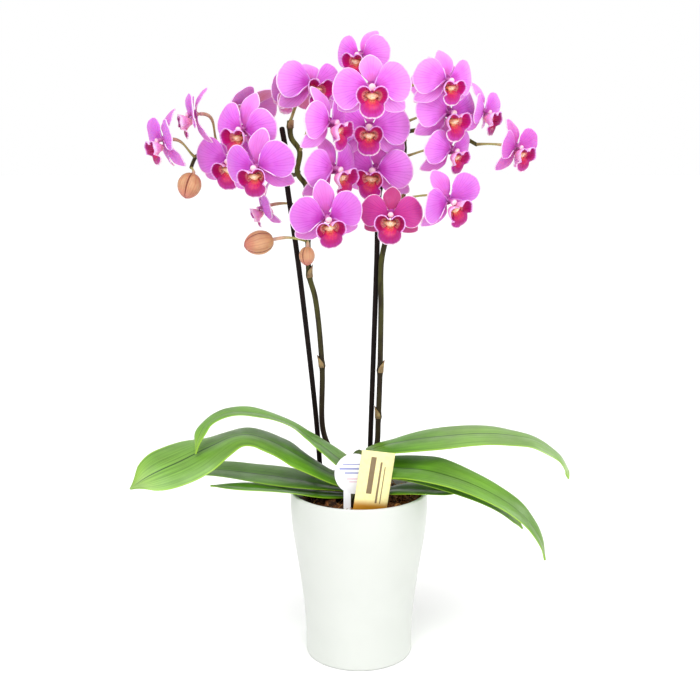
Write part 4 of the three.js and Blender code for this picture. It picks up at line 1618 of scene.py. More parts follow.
@dataclass(frozen=True)
class Flower:
    """One open flower: where its petals meet, how it faces, its span, how red it is, and how far painted
    shade darkens it.
    """

    number: int
    at: Place
    yaw: float
    down: float
    roll: float
    span: float
    stem: Place
    sweep: float = 10.0
    lifts: tuple[float, float] = (11.0, 11.0)
    crest: float = 0.0
    rise: float = 1.0
    lip: float = 1.0
    drop: float = 33.0
    tone: float = 0.0
    # How far painted shade darkens its petals, sepals and lip.
    depth: float = 0.0
    dorsal_sweep: float = 24.0
    lateral_sweep: float = 20.0
    thickness: float = 0.75
    seat_depth: float = 0.1
    first_seed: int = 100

    def pose(self) -> Matrix:
        """Gives the flower's own frame: x to its right, y up, z out of its face.

        Returns:
            The frame, in metres.
        """
        yaw, down, roll = (math.radians(angle) for angle in (self.yaw, self.down, self.roll))
        turned = Matrix.Rotation(yaw, 4, "Z") @ Matrix.Rotation(math.pi / 2 + down, 4, "X")
        return Matrix.Translation(Vector(self.at) * MM) @ turned @ Matrix.Rotation(-roll, 4, "Z")

    def seat(self) -> tuple[Array, Array]:
        """Gives the stalk's end in millimetres and the way that the flower's back points."""
        back = np.array(self.pose().to_3x3() @ Vector((0, 0, -1)))
        return np.array(self.at) + self.seat_depth * self.span * back, back

    def shapes(self, source: random.Random) -> list[tuple[Array, Face]]:
        """Gives the petals, sepals and lip.

        Args:
            source: Where their waves come from.

        Returns:
            Each one's places, in the flower's own frame, and its kind of face.
        """
        right, left = (1, 1, 1), (-1, 1, 1)
        petals = [PETAL.surface(self.span, self.sweep, lift, source) * side
                  for side, lift in zip((right, left), self.lifts)]
        dorsal = DORSAL.surface(self.span, self.dorsal_sweep, 90 - self.crest, source) * (1, self.rise, 1)
        laterals = [LATERAL.surface(self.span, self.lateral_sweep, -self.drop, source) * side
                    for side in (right, left)]
        lip = Lip().surface(self.span * self.lip, source)
        kinds = [Face.PETAL] * 2 + [Face.SEPAL] * 3 + [Face.LIP]
        return list(zip([*petals, dorsal, *laterals, lip], kinds))

    def sheets(self, source: random.Random, paint: Sequence[Material]) -> Piece:
        """Builds the petals, sepals and lip and gives them their thickness.

        Args:
            source: Where their waves come from.
            paint: The flower's finishes.

        Returns:
            All of them as one piece, in the flower's own frame.
        """
        made = []
        for points, kind in self.shapes(source):
            sheet = Bench.sheet("tepal", points)
            Bench.face(sheet, (0, 0, 1))
            Bench.dress(sheet, paint, kind.value)
            made.append(sheet)
        whole = Bench.join("tepals", made)
        Bench.modify(whole, "SOLIDIFY", thickness=self.thickness * MM, offset=-1,
                     material_offset=1, material_offset_rim=0)
        return whole

    def build(self, paint: Sequence[Material]) -> None:
        """Builds the whole flower in its place.

        Args:
            paint: Its finishes.
        """
        source = random.Random(self.first_seed + self.number)
        sheets = self.sheets(source, paint)
        column, back = Column().build(self.span)
        callus = Callus().build(self.span * self.lip)
        for piece, kind in ((column, Face.COLUMN), (callus, Face.CALLUS), (back, Face.BACK)):
            Bench.dress(piece, paint, kind.value)
        piece = Bench.join(f"flower_{self.number:02d}", [sheets, column, callus, back])
        Bench.mark(piece, Attribute.TONE, self.tone)
        # The depth carries the strength of the flower's painted shade.
        Bench.mark(piece, Attribute.DEPTH, self.depth)
        piece.data.transform(self.pose())
        Bench.finish(piece, f"bloom_{self.number:02d}", Slot.PETAL)


@dataclass(frozen=True)
class Bud:
    """A closed bud: middle, length, width, the way its tip points, and its stalk's stem point."""

    number: int
    at: Place
    length: float
    width: float
    tip: Place
    stem: Place
    outline: tuple[tuple[float, float], ...] = (
        (0.0, -0.5), (0.16, -0.49), (0.3, -0.42), (0.41, -0.3), (0.49, -0.08), (0.44, 0.18),
        (0.3, 0.36), (0.14, 0.46), (0.0, 0.5),
    )
    seam_depth: float = 0.2
    seam_power: float = 0.45
    rings: int = 30
    sides: int = 48

    def seat(self) -> tuple[Array, Array]:
        """Gives the stalk's end in millimetres and the way that the bud's back points."""
        back = -np.array(Vector(self.tip).normalized())
        return np.array(self.at) + back * self.length / 2, back

    def build(self, skin: Material) -> None:
        """Builds the bud with the seams between its sepals.

        Args:
            skin: Its finish.
        """
        line = Line([(r, 0, z) for r, z in self.outline])
        reach, _, height = line.at(np.linspace(0, 1, self.rings)).T
        turns = np.linspace(0, FULL_TURN, self.sides + 1)[:, None]
        seam = np.abs(np.sin(BUD_SEAMS / 2 * turns + SEAM_TURN)) ** self.seam_power
        radius = reach * (1 - self.seam_depth + self.seam_depth * seam) * self.width
        heights = np.broadcast_to(height * self.length, radius.shape)
        points = np.stack([radius * np.cos(turns), radius * np.sin(turns), heights], -1)
        piece = Bench.sheet(f"closed_bud_{self.number}", points)
        Bench.close(piece)
        turn = Vector((0, 0, 1)).rotation_difference(Vector(self.tip)).to_matrix().to_4x4()
        piece.data.transform(Matrix.Translation(Vector(self.at) * MM) @ turn)
        Bench.dress(piece, [skin])
        Bench.finish(piece, f"bud_{self.number}", Slot.BUD)


# Spikes and stakes


@dataclass(frozen=True)
class Bract:
    """The small pointed sheath that hugs a joint of a spike."""

    length: float = 11.0
    overlap: float = 1.5
    half_turn: float = 125.0
    taper: float = 2.2
    tip: float = 0.05
    off: float = 0.55
    flare: float = 0.8
    thickness: float = 0.5
    rings: int = 9
    sides: int = 12

    def build(self, line: Line, height: float, radius: float, turn: float) -> Piece:
        """Builds one sheath.

        Args:
            line: The stem's middle line.
            height: The joint's height.
            radius: The stem's radius.
            turn: Which way the sheath faces round the stem, in radians.

        Returns:
            The sheath.
        """
        start = line.share_at_height(height)
        rise = np.linspace(0, 1, self.rings)
        shares = start + (rise * self.length - self.overlap) / line.marks[-1]
        width = math.radians(self.half_turn) * (1 - rise**self.taper) + self.tip
        turns = np.linspace(-1, 1, self.sides + 1)[:, None] * width + turn
        points = round_line(line, shares, turns, radius + self.off + self.flare * rise * rise)
        piece = Bench.sheet("bract", points)
        Bench.face(piece, np.mean(points, axis=(0, 1)) - line.at(np.array([start]))[0])
        Bench.modify(piece, "SOLIDIFY", thickness=self.thickness * MM, offset=0)
        return piece


@dataclass(frozen=True)
class Stalk:
    """A stalk that leaves its stem upwards and bends to the back of its flower or bud."""

    radius: float = 1.15
    thick_end: float = 1.3
    waist: float = 0.5
    waist_turn: float = 1.3
    gap: float = 0.4
    first_reach: float = 0.4
    first_lift: float = 1.5
    last_reach: float = 0.45
    steps: int = 14
    rings: int = 16
    sides: int = 10

    def build(self, lines: Sequence[Line], owner: Flower | Bud) -> Piece:
        """Builds one stalk.

        Args:
            lines: The stems that it may grow from.
            owner: The flower or bud that it carries.

        Returns:
            The stalk.
        """
        seat, back = owner.seat()
        near = [line.nearest(owner.stem) for line in lines]
        start = min(near, key=lambda place: np.linalg.norm(place - np.array(owner.stem)))
        end = seat - back * self.gap
        first = start + self.first_reach * (end - start) + (0, 0, self.first_lift)
        last = end + back * self.last_reach * np.linalg.norm(end - start)
        t = np.linspace(0, 1, self.steps)[:, None]
        places = start * (1 - t) ** 3 + 3 * first * t * (1 - t) ** 2 + 3 * last * t**2 * (1 - t) + end * t**3
        shares = np.linspace(0, 1, self.rings)
        narrow = np.sin(math.pi * np.minimum(1, shares * self.waist_turn))
        radii = self.radius * (self.thick_end - self.waist * narrow)
        return Bench.rod("stalk", Line(places, 4), shares, radii, self.sides)


@dataclass(frozen=True)
class Spike:
    """A flowering spike: its main stem, side branch, joints with bracts, and all its stalks."""

    name: str
    main: Places
    branch: Places
    joints: tuple[float, ...]
    radius: float = 2.4
    branch_radius: float = 1.7
    foot: float = 1.06
    taper: float = 0.12
    joint_swell: float = 0.75
    joint_length: float = 2.4
    main_rings: int = 130
    branch_rings: int = 50
    sides: int = 14

    def stem(self, line: Line, radius: float, rings: int, joints: Sequence[float] = ()) -> Piece:
        """Builds a stem that narrows a little, swollen at its joints.

        Args:
            line: Its middle line.
            radius: Its radius.
            rings: How many rings it has.
            joints: The heights of its joints.

        Returns:
            The stem.
        """
        shares = np.linspace(0, 1, rings)
        radii = radius * (self.foot - self.taper * shares)
        for height in joints:
            off = (shares - line.share_at_height(height)) * line.marks[-1] / self.joint_length
            radii += self.joint_swell * np.exp(-(off**2))
        return Bench.rod("stem", line, shares, radii, self.sides)

    def build(self, owners: Sequence[Flower | Bud], paint: Sequence[Material]) -> None:
        """Builds the spike with the stalks of the flowers and buds that it carries.

        Args:
            owners: Its flowers and buds.
            paint: The skins of stem, stalk and bract.
        """
        main, branch = Line(self.main), Line(self.branch)
        groups = [
            [self.stem(main, self.radius, self.main_rings, self.joints),
             self.stem(branch, self.branch_radius, self.branch_rings)],
            [Stalk().build([main, branch], owner) for owner in owners],
            [Bract().build(main, height, self.radius, math.pi * (number % 2))
             for number, height in enumerate(self.joints)],
        ]
        for index, pieces in enumerate(groups):
            for piece in pieces:
                Bench.dress(piece, paint, index)
        joined = Bench.join(self.name.replace("spike", "stem"), sum(groups, []))
        Bench.finish(joined, self.name, Slot.SPIKE)


@dataclass(frozen=True)
class Stake:
    """A straight dark stick that a spike is tied up on, its top rounded in two steps."""

    name: str
    line: Places
    radius: float = 2.3
    rounding: float = 2.0
    top: tuple[tuple[float, float], ...] = ((0.4, 0.86), (0.1, 0.5))
    rings: int = 50
    sides: int = 16

    def build(self, skin: Material) -> None:
        """Builds the stick.

        Args:
            skin: Its finish.
        """
        line = Line(self.line)
        bend = self.rounding / line.marks[-1]
        shares = [*np.linspace(0, 1 - bend, self.rings), *(1 - bend * share for share, _ in self.top)]
        radii = [*[self.radius] * self.rings, *(self.radius * part for _, part in self.top)]
        piece = Bench.rod(self.name.replace("stake", "support"), line, shares, radii, self.sides)
        Bench.dress(piece, [skin])
        Bench.finish(piece, self.name, Slot.STAKE)


# Labels


@dataclass(frozen=True)
class Label:
    """A thin label that leans back from its foot: its place, lean, turn and slant in degrees."""

    at: Place
    lean: float
    turn: float
    slant: float = 0.0
    thickness: float = 1.0
    edge: float = 0.22

    def stand(self, piece: Piece) -> None:
        """Gives a flat outline its thickness and soft edges, and stands it in its place.

        Args:
            piece: The outline, which lies flat with its top along +Y.
        """
        Bench.modify(piece, "SOLIDIFY", thickness=self.thickness * MM, offset=0)
        Bench.modify(piece, "BEVEL", width=self.edge * MM, segments=2, limit_method="ANGLE")
        lean = Matrix.Rotation(math.pi / 2 - math.radians(self.lean), 4, "X")
        turn = Matrix.Rotation(math.radians(self.turn), 4, "Z")
        slant = Matrix.Rotation(-math.radians(self.slant), 4, "Z")
        piece.data.transform(Matrix.Translation(Vector(self.at) * MM) @ turn @ lean @ slant)

    @staticmethod
    def print_map(piece: Piece, low: Point, high: Point) -> None:
        """Writes a UV map that runs from 0 to 1 between two corners of a flat outline.

        Args:
            piece: The outline.
            low: The corner at 0, in millimetres.
            high: The corner at 1, in millimetres.
        """
        mesh = piece.data
        layer = mesh.uv_layers.active or mesh.uv_layers.new(name="UVMap")
        for loop in mesh.loops:
            x, y = mesh.vertices[loop.vertex_index].co[:2]
            u = (x / MM - low[0]) / (high[0] - low[0])
            layer.data[loop.index].uv = (u, (y / MM - low[1]) / (high[1] - low[1]))


@dataclass(frozen=True)
class RoundLabel(Label):
    """A round head on a narrow stem that ends in a point; its place is the head's middle."""

    radius: float = 17.0
    stem_x: float = -6.5
    stem_width: float = 7.0
    stem_reach: float = 1.08
    foot: float = 50.0
    head_share: float = 0.9
    point: float = 6.0
    point_share: float = 0.15
    sides: int = 96

    def pick_stem(self, piece: Piece) -> None:
        """Selects the disc's lower edges where the stem leaves it, and nothing else.

        Args:
            piece: The disc.
        """
        with Bench.editing(piece, "DESELECT"):
            bpy.ops.mesh.select_mode(type="EDGE")
        reach = self.stem_width / 2 * self.stem_reach * MM
        for corner in piece.data.vertices:
            corner.select = corner.co.y < 0 and abs(corner.co.x - self.stem_x * MM) < reach
        for edge in piece.data.edges:
            edge.select = all(piece.data.vertices[k].select for k in edge.vertices)

    def build(self, print_finish: Material) -> None:
        """Cuts the label from a disc and draws its stem out of the edge.

        Args:
            print_finish: Its finish.
        """
        bpy.ops.object.select_all(action="DESELECT")
        bpy.ops.mesh.primitive_circle_add(vertices=self.sides, radius=self.radius * MM, fill_type="NGON")
        piece = bpy.context.object
        piece.name = "round_label"
        self.pick_stem(piece)
        low = (self.point - self.foot) * MM
        drop = low + self.head_share * self.radius * MM
        flat = {"value": (1, 0, 1), "center_override": (0, low, 0)}
        narrow = {"value": (self.point_share, 1, 1), "center_override": (self.stem_x * MM, 0, 0)}
        bpy.ops.object.mode_set(mode="EDIT")
        bpy.ops.mesh.extrude_edges_move(TRANSFORM_OT_translate={"value": (0, drop, 0)})
        bpy.ops.transform.resize(**flat)
        bpy.ops.mesh.extrude_edges_move(TRANSFORM_OT_translate={"value": (0, -self.point * MM, 0)})
        bpy.ops.transform.resize(**narrow)
        bpy.ops.object.mode_set(mode="OBJECT")
        self.print_map(piece, (-self.radius, -self.radius), (self.radius, self.radius))
        Bench.dress(piece, [print_finish])
        self.stand(piece)
        Bench.finish(piece, "tag_round", Slot.WHITE_LABEL)


@dataclass(frozen=True)
class StripLabel(Label):
    """A plain strip; its place is the middle of its top edge."""

    width: float = 30.5
    length: float = 62.0
    columns: int = 10
    rows: int = 14

    def build(self, print_finish: Material) -> None:
        """Cuts the strip from a plane.

        Args:
            print_finish: Its finish.
        """
        bpy.ops.object.select_all(action="DESELECT")
        middle = (0, -self.length / 2 * MM, 0)
        bpy.ops.mesh.primitive_grid_add(
            x_subdivisions=self.columns, y_subdivisions=self.rows, size=1, location=middle
        )
        piece = bpy.context.object
        piece.name = "strip_label"
        piece.scale = (self.width * MM, self.length * MM, 1)
        bpy.ops.object.transform_apply(location=True, rotation=False, scale=True)
        self.print_map(piece, (-self.width / 2, -self.length), (self.width / 2, 0))
        Bench.dress(piece, [print_finish])
        self.stand(piece)
        Bench.finish(piece, "tag_strip", Slot.GOLD_LABEL)


# The studio


@dataclass(frozen=True)
class Lamp:
    """A soft square light that looks at a point: its name, place, size and power."""

    name: str
    at: Place
    size: float
    power: float

    def hang(self, target: Point) -> None:
        """Hangs the light.

        Args:
            target: The point that it looks at.
        """
        lamp = bpy.data.lights.new(self.name, "AREA")
        lamp.energy = self.power
        lamp.size = self.size
        hung = bpy.data.objects.new(self.name, lamp)
        hung.location = self.at
        hung.rotation_euler = (Vector(target) - Vector(self.at)).to_track_quat("-Z", "Y").to_euler()
        bpy.context.scene.collection.objects.link(hung)


@dataclass(frozen=True)
class Studio:
    """A plain pale floor, soft lights and the camera at the photograph's angle."""

    camera_at: Place = (-0.008, -0.9, 0.44)
    pitch: float = 10.5
    lens: float = 54.87
    sensor: float = 36.0
    floor_size: float = 40.0
    floor_sides: int = 64
    backdrop: float = 1.0
    ambient: float = 0.7
    sun_at: Place = (-0.12, -0.85, 1.3)
    sun_strength: float = 1.9
    sun_spread: float = 45.0
    target: Place = (0, 0, 0.32)
    lamps: tuple[Lamp, ...] = (
        Lamp("key", (-0.8, -1.5, 1.2), 0.9, 7),
        Lamp("rim", (1.1, 0.7, 1.1), 0.8, 6),
        Lamp("fill", (1.2, -1.2, 0.5), 0.9, 6),
    )

    def floor(self) -> None:
        """Lays the floor."""
        bpy.ops.object.select_all(action="DESELECT")
        bpy.ops.mesh.primitive_circle_add(
            vertices=self.floor_sides, radius=self.floor_size / 2, fill_type="NGON"
        )
        ground = bpy.context.object
        ground.name = "floor"
        shade = Shade("Pale floor", 0.9, specular_ior_level=0.1)
        shade.colour(shade.mix(shade.patches(0.4), "#fbfbfb", "#f9f9f9"))
        ground.data.materials.append(shade.material)

    def sun(self) -> None:
        """Adds an even light from far off whose shadows are soft by its spread."""
        lamp = bpy.data.lights.new("window", "SUN")
        lamp.energy = self.sun_strength
        lamp.angle = math.radians(self.sun_spread)
        hung = bpy.data.objects.new("window", lamp)
        hung.rotation_euler = (-Vector(self.sun_at)).to_track_quat("-Z", "Y").to_euler()
        bpy.context.scene.collection.objects.link(hung)

    def surroundings(self) -> None:
        """Makes a white room that lights the plant less than it shows."""
        world = bpy.data.worlds.new("White room")
        world.use_nodes = True
        wiring = Wiring(world.node_tree)
        world.node_tree.nodes.clear()
        seen = wiring.node("ShaderNodeLightPath").outputs["Is Camera Ray"]
        strength = wiring.scaled(seen, self.backdrop - self.ambient, start=self.ambient)
        background = wiring.node("ShaderNodeBackground", {"Color": (1, 1, 1, 1), "Strength": strength})
        wiring.node("ShaderNodeOutputWorld", {"Surface": background.outputs["Background"]})
        bpy.context.scene.world = world

    def camera(self) -> None:
        """Sets up the camera."""
        data = bpy.data.cameras.new("camera")
        data.lens = self.lens
        data.sensor_width = self.sensor
        camera = bpy.data.objects.new("camera", data)
        camera.location = self.camera_at
        camera.rotation_euler = (math.radians(90 - self.pitch), 0, 0)
        bpy.context.scene.collection.objects.link(camera)
        bpy.context.scene.camera = camera

    def build(self) -> None:
        """Sets up everything round the plant."""
        self.floor()
        self.surroundings()
        self.sun()
        for lamp in self.lamps:
            lamp.hang(self.target)
        self.camera()
        bpy.context.scene.view_settings.view_transform = "Standard"


# The plant


STRAP = (0.72, 0.86, 0.95, 1, 0.98, 0.92, 0.86, 0.8, 0.7, 0.52, 0.1)
BLUNT = (0.6, 0.75, 0.88, 0.96, 1, 1, 0.98, 0.95, 0.86, 0.66, 0.1)
SLIM_ROOT = (0.4, 0.52, 0.68, 0.84, 0.95, 1, 0.98, 0.9, 0.75, 0.5, 0.08)
HOOKED = (0.72, 0.86, 0.95, 1, 0.96, 0.88, 0.76, 0.64, 0.52, 0.38, 0.1)
TAPERED = (0.62, 0.78, 0.94, 1, 0.96, 0.86, 0.76, 0.66, 0.54, 0.38, 0.08)
# Each leaf's tone is the strength of the painted sheen on its outer blade.
LEAVES = [
    Leaf("leaf_left_arched", 40, 0.1, (12, 2, 0, 3, -8, -24), (
        (-7, 0, 166), (-16, 0, 174), (-30, 0, 185), (-45, 0, 196), (-59, -1, 206), (-73, -4, 213),
        (-87, -9, 218.5), (-101, -15, 221.5), (-112, -22, 222), (-121.5, -29, 219.5),
        (-129.5, -36, 214), (-133.5, -42, 206), (-136, -46, 194)), HOOKED, tone=0.12),
    Leaf("leaf_left_front", 52, -0.07, (8, 9, 11, 5, -3, 20, 38, 42), (
        (-7, 0, 153), (-15, -1, 158), (-28, -4, 165), (-50, -8, 179), (-64, -10, 188),
        (-78, -13, 196), (-94, -17, 202), (-108, -22, 201.5), (-122, -30, 197), (-134, -38, 193),
        (-149, -50, 188), (-163, -60, 184), (-175, -67, 179), (-186, -72, 172)), BLUNT, tone=0.2),
    Leaf("leaf_left_low", 46, 0.1, (0, 2, 4, 6, 8), (
        (-7, -1, 148), (-34, -2, 153), (-60, -1, 158), (-93, 1, 162), (-126, 3, 165), (-150, 5, 163)),
        SLIM_ROOT, tone=0.15),
    Leaf("leaf_left_lowest", 32, 0.1, (0, -4, -6), (
        (-7, -3, 143.5), (-30, -12, 147), (-51, -19, 151.5), (-65, -23, 154.5), (-87, -26, 157.5),
        (-127, -27, 160.5)), SLIM_ROOT),
    Leaf("leaf_right_arched", 52, -0.05, (4, 4, 5, 5, -2, -4), (
        (6, 1, 182), (18, 0, 187), (32, -3, 191), (53, -6, 195.5), (78, -9, 199), (95, -11, 201),
        (112, -13, 202), (129, -15, 201), (148, -17, 198), (162, -19, 191), (172, -20, 183),
        (177.5, -21, 173), (179, -22, 165)), BLUNT, tone=0.3),
    Leaf("leaf_right_front", 46, 0.1, (12, 12, 8, 4, 0), (
        (6, -2, 170), (21, -8, 171), (37, -16, 172), (56, -32, 175), (75, -46, 174), (91, -56, 171),
        (106, -64, 166), (122, -71, 158), (132, -75, 150), (141, -78, 139), (147, -80, 127),
        (150, -81, 115)), TAPERED, tone=0.16),
    Leaf("leaf_right_under", 44, 0.1, (0, 3, 6, 8, 10), (
        (6, -1, 156), (20, -3, 161), (36, -9, 165), (69, -21, 164), (102, -34, 156),
        (124, -42, 144), (137, -46, 129)), STRAP, tone=0.08),
    Leaf("leaf_right_low", 34, 0.1, (0, 0, 0, 2, 4), (
        (6, -2, 144), (20, -8, 149), (38, -17, 153.5), (60, -28, 156), (84, -36, 157)), SLIM_ROOT),
]
SPIKES = [
    Spike("spike_left", (
        (-2, 6, 158), (-11, 19, 163), (-24, 29, 174), (-32, 29, 194), (-32.6, 20, 256),
        (-38, 14, 316), (-43, 12, 336), (-44, 10, 367), (-47, 8, 394), (-45, 8, 412), (-52, 6, 423),
        (-50, 6, 441), (-57, 6, 452), (-58, 5, 466)), (
        (-51, 7, 424), (-56, 17, 421), (-66, 26, 426), (-83, 26, 437), (-105, 25, 447),
        (-127, 25, 443), (-138, 20, 437), (-141, 16, 431), (-142, 13, 427)), (256, 336, 368, 461)),
    Spike("spike_right", (
        (4, 6, 162), (11, 16, 170), (16, 21, 184), (17, 19.5, 205), (18.3, 16, 252),
        (18.8, 13, 307), (19, 11, 349), (24, 10, 371), (34, 9, 396), (38, 8, 415), (36, 8, 430),
        (37.4, 8, 443), (35, 7, 457), (37, 6, 468), (32, 5, 480), (31, 4, 493)), (
        (36, 7, 456), (46, 11, 458), (62, 16, 459), (78, 16, 457), (99, 13, 446)), (209, 252, 402, 450)),
]
STAKES = [
    Stake("stake_left", (
        (-30, 26, 70), (-34, 31, 140), (-37.5, 34, 192), (-41.7, 27, 242), (-52.7, 14, 349),
        (-58.9, 8, 398), (-60.8, 7, 413), (-61, 7, 436), (-65, 9, 461))),
    Stake("stake_right", (
        (8, 26, 70), (9, 27, 140), (10.3, 26, 187), (12.2, 21, 252), (15, 15.5, 349),
        (16.4, 14, 403), (19, 13.5, 416))),
]
SPIKE_DIVIDE = -15.0
PHASE_STEP = 1.7
# Each flower's depth is the strength of the painted shade on it.
FLOWERS = [
    Flower(1, (1.2, 10, 519), -32, 0, 9, 51, (32, 5, 483), lifts=(16, 2), crest=13, rise=0.87),
    Flower(2, (9, -49.5, 490), 0, 2, 0, 61, (31, 4, 490), lifts=(10, -7), crest=-3, rise=0.83),
    Flower(3, (8, -8, 460), -4, -2, 0, 65, (36, 6, 468), lifts=(5, 8), lip=0.9),
    Flower(4, (13, 0, 426), -20, 4, 6, 62, (37, 8, 442), lifts=(5, 11), depth=0.05),
    Flower(5, (25, -38, 391.5), -5, 2, 2, 50, (34, 9, 396), lifts=(5, 5), rise=0.85, lip=1.2,
            tone=0.8, depth=0.5),
    Flower(6, (-26, -57, 390), 11, 12, -8, 58, (-44, 10, 372), rise=0.95, tone=0.08, depth=0.35),
    Flower(7, (-21, -29, 427), 49, 4, -12, 59, (-46, 8, 410), rise=0.9, depth=0.1),
    Flower(8, (-24, -36.5, 463.5), 57, 2, -9, 57, (-50, 6, 441), crest=-6),
    Flower(9, (-39, 3, 496), 30, -8, 0, 60, (-58, 5, 465), lifts=(3, 8), crest=6, rise=0.65),
    Flower(10, (-58, 23, 490), -140, 0, 0, 46, (-58, 5, 462)),
    Flower(11, (-94, -20, 458), -30, 0, 6, 58, (-99, 24, 444), lifts=(10, 18), rise=1.05, depth=0.15),
    Flower(12, (-108.5, 7, 434), -10, 10, 0, 60, (-110, 23, 446), lifts=(11, 9), rise=0.92, depth=0.25),
    Flower(13, (-81.5, -48, 429), -16, 8, -4, 58, (-76, 26, 433), 20, lifts=(12, 7), crest=8, depth=0.4),
    Flower(14, (-92, 28, 478), -140, -30, -20, 50, (-92, 24, 442)),
    Flower(15, (-137, 6, 471), -76, 4, 8, 50, (-121, 22, 446), -8, crest=4, rise=0.87, drop=60, depth=0.25),
    Flower(16, (-162, -2, 450), -58, 6, 0, 50, (-137, 15, 437), -8, lifts=(14, 24), crest=4,
            drop=60, depth=0.4),
    Flower(17, (-82, 20, 394), -78, 14, 10, 42, (-47, 8, 396), depth=0.4),
    Flower(18, (68.5, -35, 496), 26, 6, -4, 54, (31, 4, 490), 16, lifts=(2, 11), rise=0.86, lip=0.9),
    Flower(19, (64.5, 22, 497), 160, 0, 10, 44, (31, 4, 491)),
    Flower(20, (72, -15.5, 472), 32, 6, -5, 58, (36, 6.5, 464)),
    Flower(21, (75, -9.5, 442), 44, 8, -6, 54, (37, 8, 436), lifts=(3, 11), lip=0.88, depth=0.15),
    Flower(22, (72, -28, 402), 33, 12, -26, 56, (36, 9, 402), -12, rise=0.87, depth=0.3),
    Flower(23, (102.5, 4, 473), 58, 4, -5, 48, (85, 16, 455), -8, depth=0.2),
    Flower(24, (128.5, -8, 444.5), 42, 6, -5, 45, (98, 13, 446), -10, lip=1.1, drop=55,
            tone=0.25, depth=0.3),
]
BUDS = [
    Bud(1, (-143, 7, 412), 22, 21, (-0.3, -0.2, -0.93), (-141, 12, 428)),
    Bud(2, (-84, -12, 366), 25, 21, (-0.93, -0.2, -0.2), (-44, 10, 366)),
    Bud(3, (-44, -4, 354), 16, 14, (-0.05, -0.25, -0.97), (-44, 10, 366)),
]


def flower_paint() -> list[Material]:
    """Mixes the finishes of the flowers.

    Returns:
        The finishes, in the order that Face counts them.
    """
    petal = PetalFinish("Petal face", "#8c1070", "#c440bc", "#d666da", "#e28ce8", "#fae4f8",
                        "#a22cac", "#b42474")
    sepal = PetalFinish("Sepal face", "#a82c70", "#c858b0", "#d66cd2", "#e290e4", "#f8e4f6",
                        "#a83c9c", "#a41850", vein_strength=0.6, vein_count=34.0)
    petal_back = PetalFinish("Petal back", "#bc5c9c", "#cc6cbc", "#d47cd0", "#de92de", "#f6dcf4",
                             "#b04cac", "#b84080", vein_strength=0.5)
    sepal_back = PetalFinish("Sepal back", "#b4a85c", "#cc8478", "#d888a8", "#e098c8", "#f6e0f4",
                             "#c05c5c", "#b84070", vein_strength=0.5, vein_count=22.0)
    lip_back = FleshFinish("Lip outside", ((0.0, "#f4d8b8"), (0.45, "#f0a0b0"), (0.75, "#e490cc"),
                                           (1.0, "#f8e0f6")), "#e078a8", across=True)
    column = FleshFinish("Column", ((0.0, "#8c2080"), (0.55, "#ac3898"), (0.7, "#e4a4cc"),
                                    (0.8, "#f2dadc"), (1.0, "#f4e4dc")), "#e4b0cc", 0.35)
    callus = FleshFinish("Callus", ((0.0, "#fcc068"), (0.5, "#ffdc98"), (1.0, "#fff0d0")), "#e06850",
                         0.5, 700.0)
    back = FleshFinish("Flower back", ((0.0, "#b8b860"), (0.5, "#d08c98"), (0.7, "#a83c98"),
                                       (1.0, "#8c1c80")), "#a8407c")
    finishes = (petal, petal_back, sepal, sepal_back, LipFinish(), lip_back, column, callus, back)
    return [finish.build() for finish in finishes]


def build_pot() -> None:
    """Builds the pot, the bark and the crown."""
    Pot().build(GlazeFinish().build())
    bark = BarkFinish("Bark chips", "#2e1a0e", "#9a5c2c", "#c08c54")
    fibre = BarkFinish("Coco fibres", "#6e3e1a", "#c08a4c", "#d8b080")
    Bark().build(bark.build(), fibre.build())
    sheath = FleshFinish("Leaf sheath", ((0.0, "#3c341c"), (0.5, "#4c5424"), (1.0, "#465c20")), "#2c2812")
    skin = FleshFinish("Root skin", ((0.0, "#5c5c3c"), (0.6, "#78785c"), (1.0, "#4c4028")), "#40442c",
                       0.5, 160.0, 0.75)
    Crown().build(sheath.build(), skin.build())


def build_leaves() -> None:
    """Builds the leaves."""
    # Of each finish's colours, the fifth paints the midrib line, on the face the shade of its groove, and
    # the sixth the painted sheen.
    face = LeafFinish("Leaf face", "#6c8c24", "#5f9a16", "#345e0a", "#90bc30", "#1c400a", "#b0cc7c",
                      0.9, 0.4, 0.35)
    back = LeafFinish("Leaf underside", "#8ca438", "#6ea01e", "#4c8014", "#9cc82c", "#90c040",
                      "#b4d078", 0.5, 0.5, 0.1)
    paint = face.build(), back.build()
    for number, leaf in enumerate(LEAVES):
        leaf.build(PHASE_STEP * number, *paint)


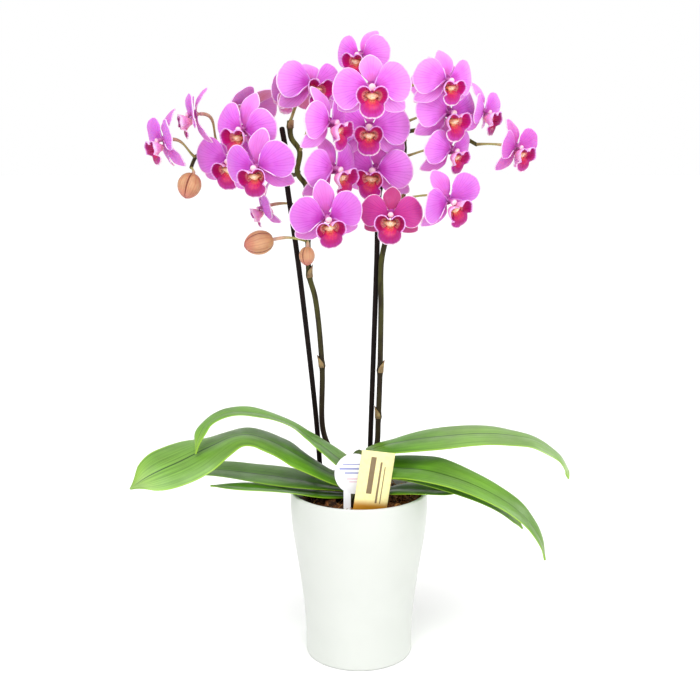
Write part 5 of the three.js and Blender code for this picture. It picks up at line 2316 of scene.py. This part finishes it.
def build_flowers() -> None:
    """Builds the spikes, stakes, flowers and buds."""
    stem = StemFinish("Spike skin", "#30281a", "#585a2a", "#201416")
    stalk = FleshFinish("Stalk skin", ((0.0, "#8c8c48"), (0.45, "#b0b468"), (0.85, "#d0a890"),
                                       (1.0, "#d898a8")), "#8c6a50", 0.35)
    bract = FleshFinish("Bract skin", ((0.0, "#7c6440"), (0.6, "#b49a68"), (1.0, "#6c4a30")), "#4c3020", 0.6)
    paint = [stem.build(), stalk.build(), bract.build()]
    for spike in SPIKES:
        left = spike.name == "spike_left"
        spike.build([o for o in [*FLOWERS, *BUDS] if (o.stem[0] < SPIKE_DIVIDE) == left], paint)
    stick = StemFinish("Stake skin", "#180e0c", "#1c120f", "#0a0505", patch_strength=0.6, roughness=0.5)
    skin = stick.build()
    for stake in STAKES:
        stake.build(skin)
    petals = flower_paint()
    for flower in FLOWERS:
        flower.build(petals)
    bud = BudFinish(((0.0, "#9c8c50"), (0.2, "#c09064"), (0.55, "#cc9c76"), (0.82, "#c88070"),
                     (1.0, "#a04458")), "#a86448", "#742c24")
    bud_skin = bud.build()
    for closed in BUDS:
        closed.build(bud_skin)


def build_labels() -> None:
    """Builds the two labels, which carry plain ruled bars only."""
    blue, rose, ink = "#8088c0", "#d8a0b8", "#5c3c18"
    rules = ((0.2, 0.8, 0.72, 0.75, blue), (0.12, 0.88, 0.6, 0.65, blue), (0.25, 0.7, 0.5, 0.54, blue),
             (0.3, 0.66, 0.36, 0.385, rose), (0.36, 0.6, 0.29, 0.31, rose))
    white = LabelFinish("White label", "#f8f8fa", "#f0f0f4", (0.0, 1.0), rules)
    RoundLabel((-4, -33, 173), lean=10, turn=0).build(white.build())
    bars = ((0.3, 0.46, 0.42, 0.92, ink), (0.6, 0.66, 0.3, 0.86, ink), (0.74, 0.77, 0.3, 0.8, ink))
    gold = LabelFinish("Gold label", "#f0e6a4", "#b87c10", (0.24, 0.36), bars, metallic=0.3, roughness=0.42)
    StripLabel((16.2, -37.2, 193.6), lean=6, turn=22, slant=12).build(gold.build())


def write_sizes() -> None:
    """Brings the scene's placements up to date."""
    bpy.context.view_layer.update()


def main() -> None:
    """Builds the plant and the studio in order."""
    logging.basicConfig(level=logging.INFO, format="%(message)s")
    build_pot()
    build_leaves()
    build_flowers()
    build_labels()
    Studio().build()
    write_sizes()


if __name__ == "__main__":
    main()
